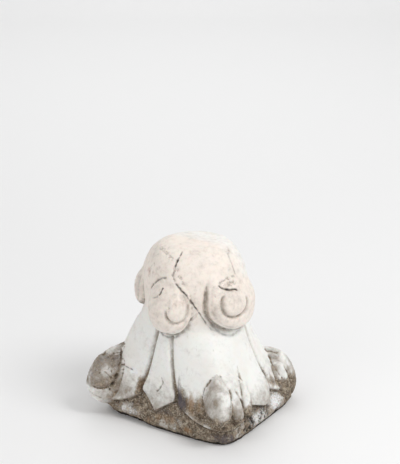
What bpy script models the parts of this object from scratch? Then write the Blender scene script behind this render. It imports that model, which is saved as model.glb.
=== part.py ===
"""A carved marble crocket capital, standing on its abacus with the neck upwards.

The piece is one block of stone. Its surface is a distance from the upright axis of the neck, worked out for
each azimuth and height. Azimuths run from 0 at -Y through 90 degrees at +X, so that the abacus stands square
to X and Y.
"""

import bpy
import numpy as np

# The block as a whole, in metres, and how far it is modelled past each bed before that is cut flat
HEIGHT = 0.325
BED_ALLOWANCE = 0.006

# The abacus: how far each face stands from the axis, -Y, +X, +Y and -X in turn, and its worn edge
ABACUS_FACES = (0.119, 0.149, 0.140, 0.136)
ABACUS_SQUARENESS = 6.5
ABACUS_HEIGHTS = (0.0, 0.010, 0.026, 0.042, 0.060)
ABACUS_SHARES = (0.945, 1.000, 0.990, 0.950, 0.900)

# Azimuths of face centres and corners in turn, back round to the first
STATIONS = (-1.5, 51.5, 92.0, 133.5, 180.0, 224.0, 270.0, 311.5, 358.5)
CORNER_AZIMUTHS = STATIONS[1:8:2]
CORNER_SOFTNESS = 0.18

# The leaf surfaces: heights, and the distances there at each face centre and at the corners
LEAF_HEIGHTS = (0.035, 0.060, 0.090, 0.120, 0.150, 0.185)
LEAF_AT_FACES = (
    (0.120, 0.114, 0.110, 0.106, 0.101, 0.093),
    (0.150, 0.143, 0.131, 0.118, 0.106, 0.095),
    (0.143, 0.135, 0.125, 0.114, 0.104, 0.094),
    (0.138, 0.130, 0.121, 0.111, 0.103, 0.094),
)
LEAF_AT_CORNERS = (
    (0.180, 0.162, 0.146, 0.133, 0.119, 0.100),
    (0.180, 0.159, 0.139, 0.121, 0.106, 0.096),
    (0.180, 0.161, 0.144, 0.130, 0.115, 0.099),
    (0.180, 0.162, 0.145, 0.132, 0.119, 0.100),
)
LEAF_RELIEF = 0.0085

# The lower edge of each leaf: its height at the corner, and its rise at a set angle to either side
LEAF_EDGE_HEIGHT = 0.029
LEAF_EDGE_RISES = (0.033, 0.036, 0.040, 0.044)
LEAF_EDGE_ANGLE = 35.0
LEAF_EDGE_MOST = 1.3

# How the skirt's bed turns from abacus to leaf, and how soft the edges of its raised forms are
BED_TURNS = (0.030, 0.056)
EDGE_SOFTNESS = 0.005
EDGE_SHARE = 0.62
FULLNESS_REACH = 0.016
GROOVE_WIDTH = 0.0035

# Darts on the middle of each face: azimuth at the shoulder and degrees of lean for each metre of height,
# relief, how much further each stands out at its point, how far the point is off the middle, and the
# heights of the left and right shoulders
DARTS = (
    (-1.5, 0.0, 0.0075, 0.2, -0.003, 0.065, 0.060),
    (89.0, 58.0, 0.0095, 1.0, 0.017, 0.054, 0.069),
    (180.0, 0.0, 0.0085, 0.5, 0.0, 0.066, 0.066),
    (270.0, 0.0, 0.0085, 0.5, 0.0, 0.066, 0.066),
)
DART_LEAN_FROM = 0.075
DART_POINT_HEIGHT = 0.034
DART_HEIGHTS = (0.034, 0.066, 0.090, 0.120, 0.160, 0.200)
DART_HALF_WIDTHS = (0.0, 0.036, 0.030, 0.0235, 0.0165, 0.0110)
DART_FLARE_HEIGHTS = (0.120, 0.040)

# Leaf tips folded back up over the corners, each a broad mass with narrower lobes on it. Each entry: azimuth
# at its foot and its top, height of its foot and its top, half width, reach from the axis, how blunt it is,
# how soon it narrows towards its top, and how round it is across, less being squarer
LOBES = (
    (57.0, 57.5, 0.030, 0.118, 0.0450, 0.174, 0.8, 1.0, 0.9),
    (46.8, 50.5, 0.037, 0.122, 0.0265, 0.190, 0.0, 1.0, 0.5),
    (59.5, 58.0, 0.038, 0.104, 0.0125, 0.184, 0.3, 1.0, 0.5),
    (65.5, 68.5, 0.038, 0.106, 0.0120, 0.179, 0.6, 1.0, 0.5),
    (311.5, 311.5, 0.020, 0.134, 0.0380, 0.197, 1.0, 1.2, 0.45),
    (130.0, 130.0, 0.008, 0.098, 0.0420, 0.180, 0.8, 1.15, 0.6),
    (134.0, 134.0, 0.008, 0.106, 0.0330, 0.191, 0.8, 1.15, 0.5),
    (224.0, 224.0, 0.030, 0.116, 0.0460, 0.176, 0.8, 1.0, 0.9),
    (224.0, 224.0, 0.034, 0.124, 0.0270, 0.191, 0.2, 1.0, 0.5),
    (236.0, 235.0, 0.036, 0.102, 0.0125, 0.183, 0.3, 1.0, 0.5),
    (212.0, 213.0, 0.036, 0.102, 0.0125, 0.183, 0.3, 1.0, 0.5),
)
LOBE_SHARES = (0.0, 0.06, 0.16, 0.32, 0.47, 0.67, 0.83, 0.93, 1.0)
POINTED_REACH = (0.60, 0.82, 0.965, 1.00, 0.95, 0.74, 0.47, 0.23, 0.0)
BLUNT_REACH = (0.60, 0.80, 0.93, 1.00, 0.955, 0.81, 0.60, 0.38, 0.0)
POINTED_WIDTH = (0.05, 0.40, 0.73, 0.98, 1.00, 0.80, 0.50, 0.27, 0.02)
BLUNT_WIDTH = (0.30, 0.62, 0.85, 1.00, 1.00, 0.93, 0.78, 0.60, 0.20)
CREASE_DEPTH = 0.003
CREASE_HALF_WIDTH = 0.003
CREASE_FADE = 0.1

# The upper block: heights, distances there, and how flat its four sides are
BLOCK_HEIGHTS = (0.150, 0.190, 0.215, 0.240, 0.264, 0.290, 0.307, 0.318, HEIGHT, 0.331)
BLOCK_DISTANCES = (0.091, 0.092, 0.094, 0.096, 0.094, 0.0855, 0.074, 0.061, 0.046, 0.030)
BLOCK_FLATNESS = 0.045
BLOCK_ROUNDS = (0.326, 0.296)
BLOCK_MAIN_FACE = 46.0
BLOCK_LEAN = 0.0022
BLOCK_LEAN_AZIMUTH = 123.0
BLOCK_FROM_SKIRT = (0.172, 0.212)

# Crockets: azimuth, centre height, half width, half height and reach, the turn of its outline in degrees,
# how square that is below and above the middle, and how far its face falls back at the left and right
CROCKETS = (
    (6.0, 0.2310, 0.045, 0.0495, 0.1200, 0.0, 2.3, 2.3, 0.011, 0.011),
    (84.0, 0.2320, 0.070, 0.0500, 0.1180, -8.0, 2.1, 7.0, 0.0035, 0.014),
    (180.0, 0.2290, 0.070, 0.0470, 0.1190, 0.0, 2.4, 4.0, 0.009, 0.009),
    (270.0, 0.2310, 0.066, 0.0450, 0.1150, 0.0, 2.4, 3.0, 0.011, 0.012),
)
CROCKET_GIRTH = 0.104
CROCKET_TOP_FALL = 0.019
CROCKET_FALLS_FROM = -0.1
CROCKET_MERGES = (1.05, 0.60)
PAD_SQUARENESS = 5.0
PAD_EDGE = 0.5

# Their eyes in turn: how far across and up, half width, half height, and the direction in which the groove
# round the eye is open, with the angle over which it fades to either side
EYES = (
    (0.0205, 0.002, 0.0176, 0.0235, 175.0, 30.0),
    (-0.0220, 0.006, 0.0250, 0.0240, 72.0, 80.0),
    (0.0, 0.0, 0.026, 0.026, 90.0, 50.0),
    (0.0, 0.0, 0.026, 0.026, 90.0, 50.0),
)
EYE_RISE = 0.0022
EYE_ROUNDNESS = 4.0
SCROLL_DEPTH = 0.0048
SCROLL_HALF_WIDTH = 0.0036
SCROLL_GROWTH = 0.05
SCROLL_FADE = 0.6

# Places where the abacus is broken away: azimuth, height, half width, half height and depth
BREAKS = (
    (321.0, 0.000, 0.0480, 0.0110, 0.0150),
    (296.0, 0.000, 0.0300, 0.0080, 0.0070),
)
BREAK_SQUARENESS = 4

# Mesh sizes
AROUND = 400
UPWARDS = 240
VOXEL = 0.0034
FACE_SHARE = 0.098
CUTTER_DEPTH = 0.1


def smooth_step(low, high, value):
    """0 below low, 1 above high and an S curve between."""
    t = np.clip((value - low) / (high - low), 0.0, 1.0)
    return t * t * (3.0 - 2.0 * t)


def through(value, places, levels):
    """A smooth curve through levels at rising places, with the slope at each taken from its neighbours."""
    places, levels = np.array(places), np.array(levels)
    slopes = np.gradient(levels, places)
    i = np.clip(np.searchsorted(places, value) - 1, 0, len(places) - 2)
    step = places[i + 1] - places[i]
    t = np.clip((value - places[i]) / step, 0.0, 1.0)
    start = (1.0 + 2.0 * t) * (1.0 - t) ** 2 * levels[i] + t * (1.0 - t) ** 2 * step * slopes[i]
    return start + t * t * (3.0 - 2.0 * t) * levels[i + 1] - t * t * (1.0 - t) * step * slopes[i + 1]


def turned(azimuth, centre):
    """Angle from a centre azimuth in degrees, wrapped to half a turn either way, in radians."""
    return (azimuth - np.radians(centre) + np.pi) % (2.0 * np.pi) - np.pi


def blended(first, second, share):
    """The first value where share is 0, the second where it is 1."""
    return first + (second - first) * share


def rounded_square(azimuth, faces, squareness):
    """Distance from the axis to a superellipse whose four faces stand at their own distances."""
    across, ahead = np.sin(azimuth), -np.cos(azimuth)
    x_face = np.where(across > 0, faces[1], faces[3])
    y_face = np.where(ahead > 0, faces[2], faces[0])
    sum_of_powers = (np.abs(across) / x_face) ** squareness + (np.abs(ahead) / y_face) ** squareness
    return sum_of_powers ** (-1.0 / squareness)


def soft_square(azimuth, faces, corners):
    """Distance from the axis to a square with soft corners, from its distances at faces and corners."""
    degrees = (np.degrees(azimuth) - STATIONS[0]) % 360.0 + STATIONS[0]
    to_corner = np.interp(degrees, STATIONS, (0, 1, 0, 1, 0, 1, 0, 1, 0))
    softened = np.hypot(1.0 - to_corner, CORNER_SOFTNESS) - CORNER_SOFTNESS
    from_corner = softened / (np.hypot(1.0, CORNER_SOFTNESS) - CORNER_SOFTNESS)
    eighth_turn = np.radians(45.0)
    lift = np.log(np.cos(eighth_turn * (1.0 - from_corner))) / np.log(np.cos(eighth_turn))
    face = np.choose(np.searchsorted(CORNER_AZIMUTHS, degrees, side="right") % 4, faces)
    corner = np.choose(np.searchsorted(STATIONS[2:8:2], degrees, side="right"), corners)
    return face ** (1.0 - lift) * corner**lift


def dart_inside(azimuth, height, face, centre, lean, point_across, left_shoulder, right_shoulder):
    """How far a point is inside the outline of one dart on a face, in metres, below zero outside it."""
    side = turned(azimuth - np.radians(lean) * (height - DART_LEAN_FROM), centre) * face
    shoulder = max(DART_HALF_WIDTHS)
    left_slope = (left_shoulder - DART_POINT_HEIGHT) / (shoulder + point_across)
    right_slope = (right_shoulder - DART_POINT_HEIGHT) / (shoulder - point_across)
    slope = np.where(side < point_across, left_slope, right_slope)
    above_point = (height - DART_POINT_HEIGHT - slope * np.abs(side - point_across)) / np.hypot(1.0, slope)
    half_width = np.where(height > DART_HEIGHTS[1], through(height, DART_HEIGHTS, DART_HALF_WIDTHS), shoulder)
    return np.minimum(above_point, half_width - np.abs(side))


def raised(inside):
    """Share of its relief that a carved form has at a distance inside its outline."""
    fullness = 1.0 - np.exp(-np.clip(inside, 0.0, 1.0) / FULLNESS_REACH)
    return blended(fullness, smooth_step(0.0, EDGE_SOFTNESS, inside), EDGE_SHARE)


def skirt_radius(azimuth, height):
    """The lower half: leaves over the corners and darts between them, standing out from the bed."""
    faces = [through(height, LEAF_HEIGHTS, distances) for distances in LEAF_AT_FACES]
    corners = [through(height, LEAF_HEIGHTS, distances) for distances in LEAF_AT_CORNERS]
    leaf_surface = soft_square(azimuth, faces, corners)
    share = through(height, ABACUS_HEIGHTS, ABACUS_SHARES)
    abacus = rounded_square(azimuth, ABACUS_FACES, ABACUS_SQUARENESS) * share
    bed = blended(abacus, leaf_surface - LEAF_RELIEF, smooth_step(*BED_TURNS, height))
    leaf = np.full(azimuth.shape, -1.0)
    for centre, rise in zip(CORNER_AZIMUTHS, LEAF_EDGE_RISES):
        off_centre = np.abs(turned(azimuth, centre)) / np.radians(LEAF_EDGE_ANGLE)
        lower_edge = LEAF_EDGE_HEIGHT + rise * np.clip(off_centre, 0.0, LEAF_EDGE_MOST) ** 2
        leaf = np.maximum(leaf, height - lower_edge)
    darts = []
    for face, (centre, lean, _, _, point_across, left, right) in zip(faces, DARTS):
        darts.append(dart_inside(azimuth, height, face, centre, lean, point_across, left, right))
    leaf = np.minimum(leaf, -np.max(darts, axis=0) - GROOVE_WIDTH)
    radius = blended(bed, np.maximum(leaf_surface, bed), raised(leaf))
    for inside, (_, _, relief, flare, _, _, _) in zip(darts, DARTS):
        stands_out = relief * (1.0 + flare * smooth_step(*DART_FLARE_HEIGHTS, height))
        radius = radius + stands_out * raised(inside)
    return radius


def block_radius(azimuth, height):
    """The upper block: four soft sides, widest below the middle, drawn in to a flat round neck bed."""
    swing = np.cos(4.0 * turned(azimuth, BLOCK_MAIN_FACE))
    flatness = BLOCK_FLATNESS * swing * smooth_step(*BLOCK_ROUNDS, height)
    lean = BLOCK_LEAN * np.cos(turned(azimuth, BLOCK_LEAN_AZIMUTH))
    return through(height, BLOCK_HEIGHTS, BLOCK_DISTANCES) * (1.0 - flatness) + lean


def with_lobe(radius, azimuth, height, lobe):
    """The surface with one lobe of a folded leaf tip laid over it, and a crease round the lobe."""
    foot_azimuth, top_azimuth, foot, top, half_width, reach, blunt, taper, roundness = lobe
    share = (height - foot) / (top - foot)
    pointed_reach = through(share, LOBE_SHARES, POINTED_REACH)
    blunt_reach = through(share, LOBE_SHARES, BLUNT_REACH)
    pointed_width = through(share * taper, LOBE_SHARES, POINTED_WIDTH)
    blunt_width = through(share * taper, LOBE_SHARES, BLUNT_WIDTH)
    leaf_at_top = through(np.array(top), LEAF_HEIGHTS, LEAF_AT_CORNERS[0])
    crown = blended(leaf_at_top, reach, blended(pointed_reach, blunt_reach, blunt))
    width = half_width * blended(pointed_width, blunt_width, blunt)
    centre = blended(foot_azimuth, top_azimuth, np.clip(share, 0.0, 1.0))
    side = np.abs(turned(azimuth, centre) * crown)
    dome = np.clip(1.0 - (side / width) ** 2, 0.0, 1.0) ** roundness
    ends = smooth_step(0.0, CREASE_FADE, share) * smooth_step(1.0, 1.0 - CREASE_FADE, share)
    creased = radius - CREASE_DEPTH * np.exp(-(((side - width) / CREASE_HALF_WIDTH) ** 2)) * ends
    within = (share > 0.0) & (share < 1.0)
    return np.where(within, blended(creased, np.maximum(crown, creased), dome), radius)


def with_crocket(radius, azimuth, height, crocket, eye):
    """The surface with one crocket on it: a pad that overhangs below, with a groove curled about an eye."""
    centre, centre_height, half_width, half_height, reach, turn, below, above, left_fall, right_fall = crocket
    eye_across, eye_up, eye_half_width, eye_half_height, opening, gap = eye
    across = turned(azimuth, centre) * CROCKET_GIRTH
    up = height - centre_height
    along = (across * np.cos(np.radians(turn)) + up * np.sin(np.radians(turn))) / half_width
    over = (up * np.cos(np.radians(turn)) - across * np.sin(np.radians(turn))) / half_height
    power = np.where(over < 0.0, below, above)
    share = (np.abs(along) ** power + np.abs(over) ** power) ** (1.0 / power)
    merge = smooth_step(*CROCKET_MERGES, over)
    pad = np.clip(1.0 - share**PAD_SQUARENESS, 0.0, 1.0) ** PAD_EDGE * merge
    side_fall = np.where(across < 0.0, left_fall, right_fall)
    face = reach - CROCKET_TOP_FALL * smooth_step(CROCKET_FALLS_FROM, 1.0, up / half_height)
    face = face - side_fall * (across / half_width) ** 2
    eye_right = (across - eye_across) / eye_half_width
    eye_over = (up - eye_up) / eye_half_height
    from_eye = np.hypot(eye_right, eye_over)
    bearing = turned(np.arctan2(eye_over, eye_right), opening)
    arm = 1.0 + SCROLL_GROWTH * (bearing % (2.0 * np.pi) - np.pi)
    cut = smooth_step(np.radians(SCROLL_FADE * gap), np.radians(gap), np.abs(bearing))
    eye_size = np.sqrt(eye_half_width * eye_half_height)
    face = face + EYE_RISE * np.clip(1.0 - (from_eye / arm) ** EYE_ROUNDNESS, 0.0, 1.0)
    groove = np.exp(-(((from_eye - arm) * eye_size / SCROLL_HALF_WIDTH) ** 2))
    face = face - SCROLL_DEPTH * cut * groove
    return blended(radius, np.maximum(face, radius), pad)


def surface_radius(azimuth, height):
    """Distance of the carved surface from the axis."""
    to_block = smooth_step(*BLOCK_FROM_SKIRT, height)
    radius = blended(skirt_radius(azimuth, height), block_radius(azimuth, height), to_block)
    for lobe in LOBES:
        radius = with_lobe(radius, azimuth, height, lobe)
    for crocket, eye in zip(CROCKETS, EYES):
        radius = with_crocket(radius, azimuth, height, crocket, eye)
    for centre, centre_height, half_width, half_height, depth in BREAKS:
        across = turned(azimuth, centre) * radius / half_width
        up = (height - centre_height) / half_height
        radius = radius - depth * np.exp(-(across**BREAK_SQUARENESS) - up * up)
    return radius


def closed_solid(name, rows):
    """A mesh object from rows of points that go round, with each end closed by a fan."""
    count, around = rows.shape[:2]
    ends = [rows[0].mean(0), rows[-1].mean(0)]
    vertices = np.concatenate([rows.reshape(-1, 3), ends])
    first, last = count * around, count * around + 1
    low = np.arange((count - 1) * around)
    beside = low - low % around + (low + 1) % around
    sides = np.stack([low, beside, beside + around, low + around], -1)
    ring = np.arange(around)
    after = (ring + 1) % around
    top = (count - 1) * around
    fans = [(first, k, j) for j, k in zip(ring.tolist(), after.tolist())]
    fans += [(last, top + j, top + k) for j, k in zip(ring.tolist(), after.tolist())]
    mesh = bpy.data.meshes.new(name)
    mesh.from_pydata(vertices.tolist(), [], sides.tolist() + fans)
    solid = bpy.data.objects.new(name, mesh)
    bpy.context.scene.collection.objects.link(solid)
    return solid


def marble():
    """Weathered white marble."""
    material = bpy.data.materials.new("weathered white marble")
    material.use_nodes = True
    shader = material.node_tree.nodes["Principled BSDF"]
    shader.inputs["Base Color"].default_value = (0.72, 0.68, 0.61, 1.0)
    shader.inputs["Roughness"].default_value = 0.62
    shader.inputs["Metallic"].default_value = 0.0
    return material


def cut_flat(block, name, centre_height):
    """Cut the block square across with a box a tenth of a metre deep."""
    location, scale = (0.0, 0.0, centre_height), (1.0, 1.0, CUTTER_DEPTH)
    bpy.ops.mesh.primitive_cube_add(size=1.0, location=location, scale=scale)
    cutter = bpy.context.object
    cutter.name = f"{name}_cutter"
    cutter.hide_render = True
    cutter.display_type = "WIRE"
    cut = block.modifiers.new(name, "BOOLEAN")
    cut.operation = "DIFFERENCE"
    cut.solver = "EXACT"
    cut.object = cutter


def capital():
    """The carved block as rings of points, evened out, thinned to broad facets and cut flat at both beds."""
    heights = np.linspace(-BED_ALLOWANCE, HEIGHT + BED_ALLOWANCE, UPWARDS)
    azimuths = np.linspace(0.0, 2.0 * np.pi, AROUND, endpoint=False)
    azimuth, height = np.meshgrid(azimuths, heights)
    radius = surface_radius(azimuth, height)
    rows = np.stack([np.sin(azimuth) * radius, -np.cos(azimuth) * radius, height], -1)
    block = closed_solid("crocket_capital", rows)
    block.data.materials.append(marble())
    even = block.modifiers.new("even", "REMESH")
    even.mode = "VOXEL"
    even.voxel_size = VOXEL
    thin = block.modifiers.new("thin", "DECIMATE")
    thin.ratio = FACE_SHARE
    cut_flat(block, "standing_face", -CUTTER_DEPTH / 2.0)
    cut_flat(block, "neck_bed", HEIGHT + CUTTER_DEPTH / 2.0)


for old in list(bpy.data.objects):
    bpy.data.objects.remove(old)
capital()
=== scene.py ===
"""A weathered marble crocket capital: the carved stone, its finish, and a plain studio to see it in.

Lengths are in metres. The capital stands on its abacus with the neck upwards. Its surface is a distance from
the upright axis of the neck, worked out for each azimuth and height. Azimuths are in degrees where they are
stated and in radians where they are worked with, from 0 at -Y through a quarter turn at +X.
"""

from __future__ import annotations

import logging
from dataclasses import dataclass
from enum import Enum

import bpy
import numpy as np
from mathutils import Matrix, Vector


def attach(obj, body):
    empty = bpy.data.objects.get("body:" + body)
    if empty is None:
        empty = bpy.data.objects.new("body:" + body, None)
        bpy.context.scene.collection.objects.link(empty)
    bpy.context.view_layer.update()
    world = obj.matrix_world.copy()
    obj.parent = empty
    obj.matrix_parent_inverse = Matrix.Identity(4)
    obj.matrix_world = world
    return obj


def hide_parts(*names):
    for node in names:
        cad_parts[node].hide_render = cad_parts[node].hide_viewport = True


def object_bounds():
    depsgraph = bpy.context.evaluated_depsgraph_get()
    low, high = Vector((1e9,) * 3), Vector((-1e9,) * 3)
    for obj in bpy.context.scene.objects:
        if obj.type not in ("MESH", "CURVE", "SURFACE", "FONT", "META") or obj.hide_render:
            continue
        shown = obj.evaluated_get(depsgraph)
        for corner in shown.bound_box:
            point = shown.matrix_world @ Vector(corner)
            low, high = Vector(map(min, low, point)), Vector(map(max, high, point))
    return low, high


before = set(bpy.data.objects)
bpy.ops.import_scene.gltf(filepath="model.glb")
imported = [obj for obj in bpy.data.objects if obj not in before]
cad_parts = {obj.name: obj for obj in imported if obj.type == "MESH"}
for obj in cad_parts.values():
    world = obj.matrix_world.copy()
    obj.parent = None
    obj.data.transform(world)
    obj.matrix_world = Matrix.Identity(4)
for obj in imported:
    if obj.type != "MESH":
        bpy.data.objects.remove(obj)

LOG = logging.getLogger("capital")
Array = np.ndarray
CAD_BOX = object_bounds()


# Curves and blends


def smooth_step(low: float, high: float, value: Array) -> Array:
    """An S curve from 0 at low to 1 at high: three times the square less twice the cube of the share.

    Args:
        low: value at which the result is 0.
        high: value at which the result is 1; it may be below low.
        value: values to shape.

    Returns:
        Shares from 0 to 1.
    """
    share = np.clip((value - low) / (high - low), 0.0, 1.0)
    return share * share * (3.0 - 2.0 * share)


def blended(first: Array, second: Array, share: Array) -> Array:
    """The first value where share is 0, the second where it is 1, and in proportion between."""
    return first + (second - first) * share


def turned(azimuth: Array, centre: float) -> Array:
    """Angle in radians from a centre azimuth in degrees, wrapped to half a turn either way."""
    return (azimuth - np.radians(centre) + np.pi) % (2.0 * np.pi) - np.pi


def through(value: Array, places: tuple[float, ...], levels: tuple[float, ...]) -> Array:
    """A smooth curve through given levels: a cubic between each two, with slopes from the neighbours.

    Args:
        value: where the curve is wanted.
        places: rising positions of the known points.
        levels: height of the curve at each of them.

    Returns:
        The curve's height at each value, held level beyond the ends.
    """
    at, level = np.array(places), np.array(levels)
    slopes = np.gradient(level, at)
    i = np.clip(np.searchsorted(at, value) - 1, 0, len(at) - 2)
    step = at[i + 1] - at[i]
    t = np.clip((value - at[i]) / step, 0.0, 1.0)
    leaving = (1.0 + 2.0 * t) * (1.0 - t) ** 2 * level[i] + t * (1.0 - t) ** 2 * step * slopes[i]
    return leaving + t * t * (3.0 - 2.0 * t) * level[i + 1] - t * t * (1.0 - t) * step * slopes[i + 1]


class StoneNoise:
    """Gradient noise in space: random slopes on a cubic lattice, eased between the eight points of a cell."""

    def __init__(self, seed: int) -> None:
        """Draw the lattice's order and slopes from a seed."""
        source = np.random.default_rng(seed)
        self.order = source.permutation(256)
        slopes = source.normal(size=(256, 3))
        self.slopes = slopes / np.linalg.norm(slopes, axis=1, keepdims=True)

    def at(self, points: Array, grain: float) -> Array:
        """Noise of one grain size, about -0.7 to 0.7.

        Args:
            points: rows of x, y and z.
            grain: size of one lattice cell.

        Returns:
            One value for each row.
        """
        scaled = points / grain
        cell = np.floor(scaled).astype(int)
        within = scaled - cell
        ease = within**3 * (within * (within * 6.0 - 15.0) + 10.0)
        total = np.zeros(len(points))
        for corner in np.ndindex(2, 2, 2):
            x, y, z = ((cell + corner) & 255).T
            slope = self.slopes[self.order[(self.order[(self.order[x] + y) & 255] + z) & 255]]
            weight = np.prod(np.where(np.array(corner) == 1, ease, 1.0 - ease), axis=1)
            total += weight * np.einsum("ij,ij->i", slope, within - corner)
        return total

    def layered(self, points: Array, grain: float, layers: int) -> Array:
        """Noise with finer layers on it, each of half the grain and half the strength of the last."""
        return sum(self.at(points, grain / 2**k) * 0.5**k for k in range(layers))


# The forms of the capital


@dataclass(frozen=True)
class Abacus:
    """The square slab at the foot, its edges worn round.

    Faces are the distances of its sides from the axis: -Y, +X, +Y and -X in turn.
    """

    faces: tuple[float, ...] = (0.119, 0.149, 0.140, 0.136)
    squareness: float = 6.5
    heights: tuple[float, ...] = (0.0, 0.010, 0.026, 0.042, 0.060)
    shares: tuple[float, ...] = (0.945, 1.000, 0.990, 0.950, 0.900)

    def distance(self, azimuth: Array, height: Array) -> Array:
        """A superellipse: the powers of each ordinate over its face's distance add up to one.

        Args:
            azimuth: azimuths in radians.
            height: heights above the standing face.

        Returns:
            Distance of the slab's side from the axis.
        """
        across, ahead = np.sin(azimuth), -np.cos(azimuth)
        x_face = np.where(across > 0, self.faces[1], self.faces[3])
        y_face = np.where(ahead > 0, self.faces[2], self.faces[0])
        powers = (np.abs(across) / x_face) ** self.squareness + (np.abs(ahead) / y_face) ** self.squareness
        return powers ** (-1.0 / self.squareness) * through(height, self.heights, self.shares)


@dataclass(frozen=True)
class Leaves:
    """Four broad leaves that spread over the corners, each with a rolled lower edge.

    Stations are the azimuths of face centres and corners in turn. The tables give, at each height, how far
    the leaf surface stands from the axis at each face centre and at each corner.
    """

    stations: tuple[float, ...] = (-1.5, 51.5, 92.0, 133.5, 180.0, 224.0, 270.0, 311.5, 358.5)
    heights: tuple[float, ...] = (0.035, 0.060, 0.090, 0.120, 0.150, 0.185)
    at_faces: tuple[tuple[float, ...], ...] = (
        (0.120, 0.114, 0.110, 0.106, 0.101, 0.093),
        (0.150, 0.143, 0.131, 0.118, 0.106, 0.095),
        (0.143, 0.135, 0.125, 0.114, 0.104, 0.094),
        (0.138, 0.130, 0.121, 0.111, 0.103, 0.094),
    )
    at_corners: tuple[tuple[float, ...], ...] = (
        (0.180, 0.162, 0.146, 0.133, 0.119, 0.100),
        (0.180, 0.159, 0.139, 0.121, 0.106, 0.096),
        (0.180, 0.161, 0.144, 0.130, 0.115, 0.099),
        (0.180, 0.162, 0.145, 0.132, 0.119, 0.100),
    )
    corner_softness: float = 0.18
    relief: float = 0.0085
    edge_height: float = 0.029
    edge_rises: tuple[float, ...] = (0.033, 0.036, 0.040, 0.044)
    groove: float = 0.0035
    roll: float = 0.0022

    @property
    def corners(self) -> tuple[float, ...]:
        """Azimuths of the four corners."""
        return self.stations[1:8:2]

    def face_distances(self, height: Array) -> list[Array]:
        """Distance of the leaf surface from the axis at each face centre."""
        return [through(height, self.heights, distances) for distances in self.at_faces]

    def surface(self, azimuth: Array, height: Array) -> Array:
        """A square with soft corners: from face to corner the distance grows as the secant of up to 45 degrees.

        Args:
            azimuth: azimuths in radians.
            height: heights above the standing face.

        Returns:
            Distance of the leaf surface from the axis.
        """
        degrees = (np.degrees(azimuth) - self.stations[0]) % 360.0 + self.stations[0]
        to_corner = np.interp(degrees, self.stations, (0, 1, 0, 1, 0, 1, 0, 1, 0))
        soft = self.corner_softness
        from_corner = (np.hypot(1.0 - to_corner, soft) - soft) / (np.hypot(1.0, soft) - soft)
        eighth_turn = np.radians(45.0)
        lift = np.log(np.cos(eighth_turn * (1.0 - from_corner))) / np.log(np.cos(eighth_turn))
        corner_distances = [through(height, self.heights, distances) for distances in self.at_corners]
        face = np.choose(np.searchsorted(self.corners, degrees, side="right") % 4, self.face_distances(height))
        corner = np.choose(np.searchsorted(self.stations[2:8:2], degrees, side="right"), corner_distances)
        return face ** (1.0 - lift) * corner**lift

    def above_edge(self, azimuth: Array, height: Array) -> Array:
        """Height above the nearest leaf's lower edge, a parabola that is lowest under each corner.

        Args:
            azimuth: azimuths in radians.
            height: heights above the standing face.

        Returns:
            Height above the edge, below zero under it.
        """
        above = np.full(azimuth.shape, -1.0)
        for centre, rise in zip(self.corners, self.edge_rises):
            off_centre = np.clip(np.abs(turned(azimuth, centre)) / np.radians(35.0), 0.0, 1.3)
            above = np.maximum(above, height - self.edge_height - rise * off_centre**2)
        return above


@dataclass(frozen=True)
class Dart:
    """A pointed tongue on the middle of a face, narrow above, shouldered, and pointed at its foot.

    Its lean is in degrees for each metre of height; its point may be off the middle, and its two shoulders at
    different heights.
    """

    azimuth: float
    relief: float
    flare: float
    lean: float = 0.0
    point_across: float = 0.0
    left_shoulder: float = 0.066
    right_shoulder: float = 0.066
    left_shade_and_dirt: float = 0.8
    right_shade_and_dirt: float = 0.8
    left_channel: float = 0.0035
    lean_from: float = 0.075
    point_height: float = 0.034
    heights: tuple[float, ...] = (0.034, 0.066, 0.090, 0.120, 0.160, 0.200)
    half_widths: tuple[float, ...] = (0.0, 0.036, 0.030, 0.0235, 0.0165, 0.0110)

    def side(self, azimuth: Array, height: Array, face: Array) -> Array:
        """Distance from the dart's leaning middle line, below zero to its left."""
        return turned(azimuth - np.radians(self.lean) * (height - self.lean_from), self.azimuth) * face

    def inside(self, azimuth: Array, height: Array, face: Array) -> Array:
        """How far a point is inside the outline: the least of its distances to the two flanks and the point.

        Args:
            azimuth: azimuths in radians.
            height: heights above the standing face.
            face: distance of the face from the axis, which turns angles to widths.

        Returns:
            Distance inside the outline, below zero outside it.
        """
        side = self.side(azimuth, height, face)
        shoulder = max(self.half_widths)
        left_slope = (self.left_shoulder - self.point_height) / (shoulder + self.point_across)
        right_slope = (self.right_shoulder - self.point_height) / (shoulder - self.point_across)
        slope = np.where(side < self.point_across, left_slope, right_slope)
        above_point = height - self.point_height - slope * np.abs(side - self.point_across)
        narrowing = through(height, self.heights, self.half_widths)
        half_width = np.where(height > self.heights[1], narrowing, shoulder)
        return np.minimum(above_point / np.hypot(1.0, slope), half_width - np.abs(side))

    def channel(self, azimuth: Array, height: Array, face: Array, usual: float) -> Array:
        """Width of the channel beside the dart; below zero the leaf runs up against it.

        Args:
            azimuth: azimuths in radians.
            height: heights above the standing face.
            face: distance of the face from the axis.
            usual: width of the channel where the dart doesn't state another.

        Returns:
            The left side's own width above the shoulder and left of the middle line, and the usual one elsewhere.
        """
        on_left = smooth_step(0.004, -0.004, self.side(azimuth, height, face))
        above_shoulder = smooth_step(self.left_shoulder + 0.010, self.left_shoulder + 0.026, height)
        return blended(usual, self.left_channel, on_left * above_shoulder)

    def dirt(self, azimuth: Array, height: Array, face: Array) -> Array:
        """How dark the channel beside the dart is painted with shade and dirt, by its side."""
        to_right = smooth_step(-0.006, 0.006, self.side(azimuth, height, face))
        return blended(self.left_shade_and_dirt, self.right_shade_and_dirt, to_right)

    def height_of_relief(self, height: Array) -> Array:
        """How far the dart stands from its bed: more towards the point, by its flare."""
        return self.relief * (1.0 + self.flare * smooth_step(0.120, 0.040, height))


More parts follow.
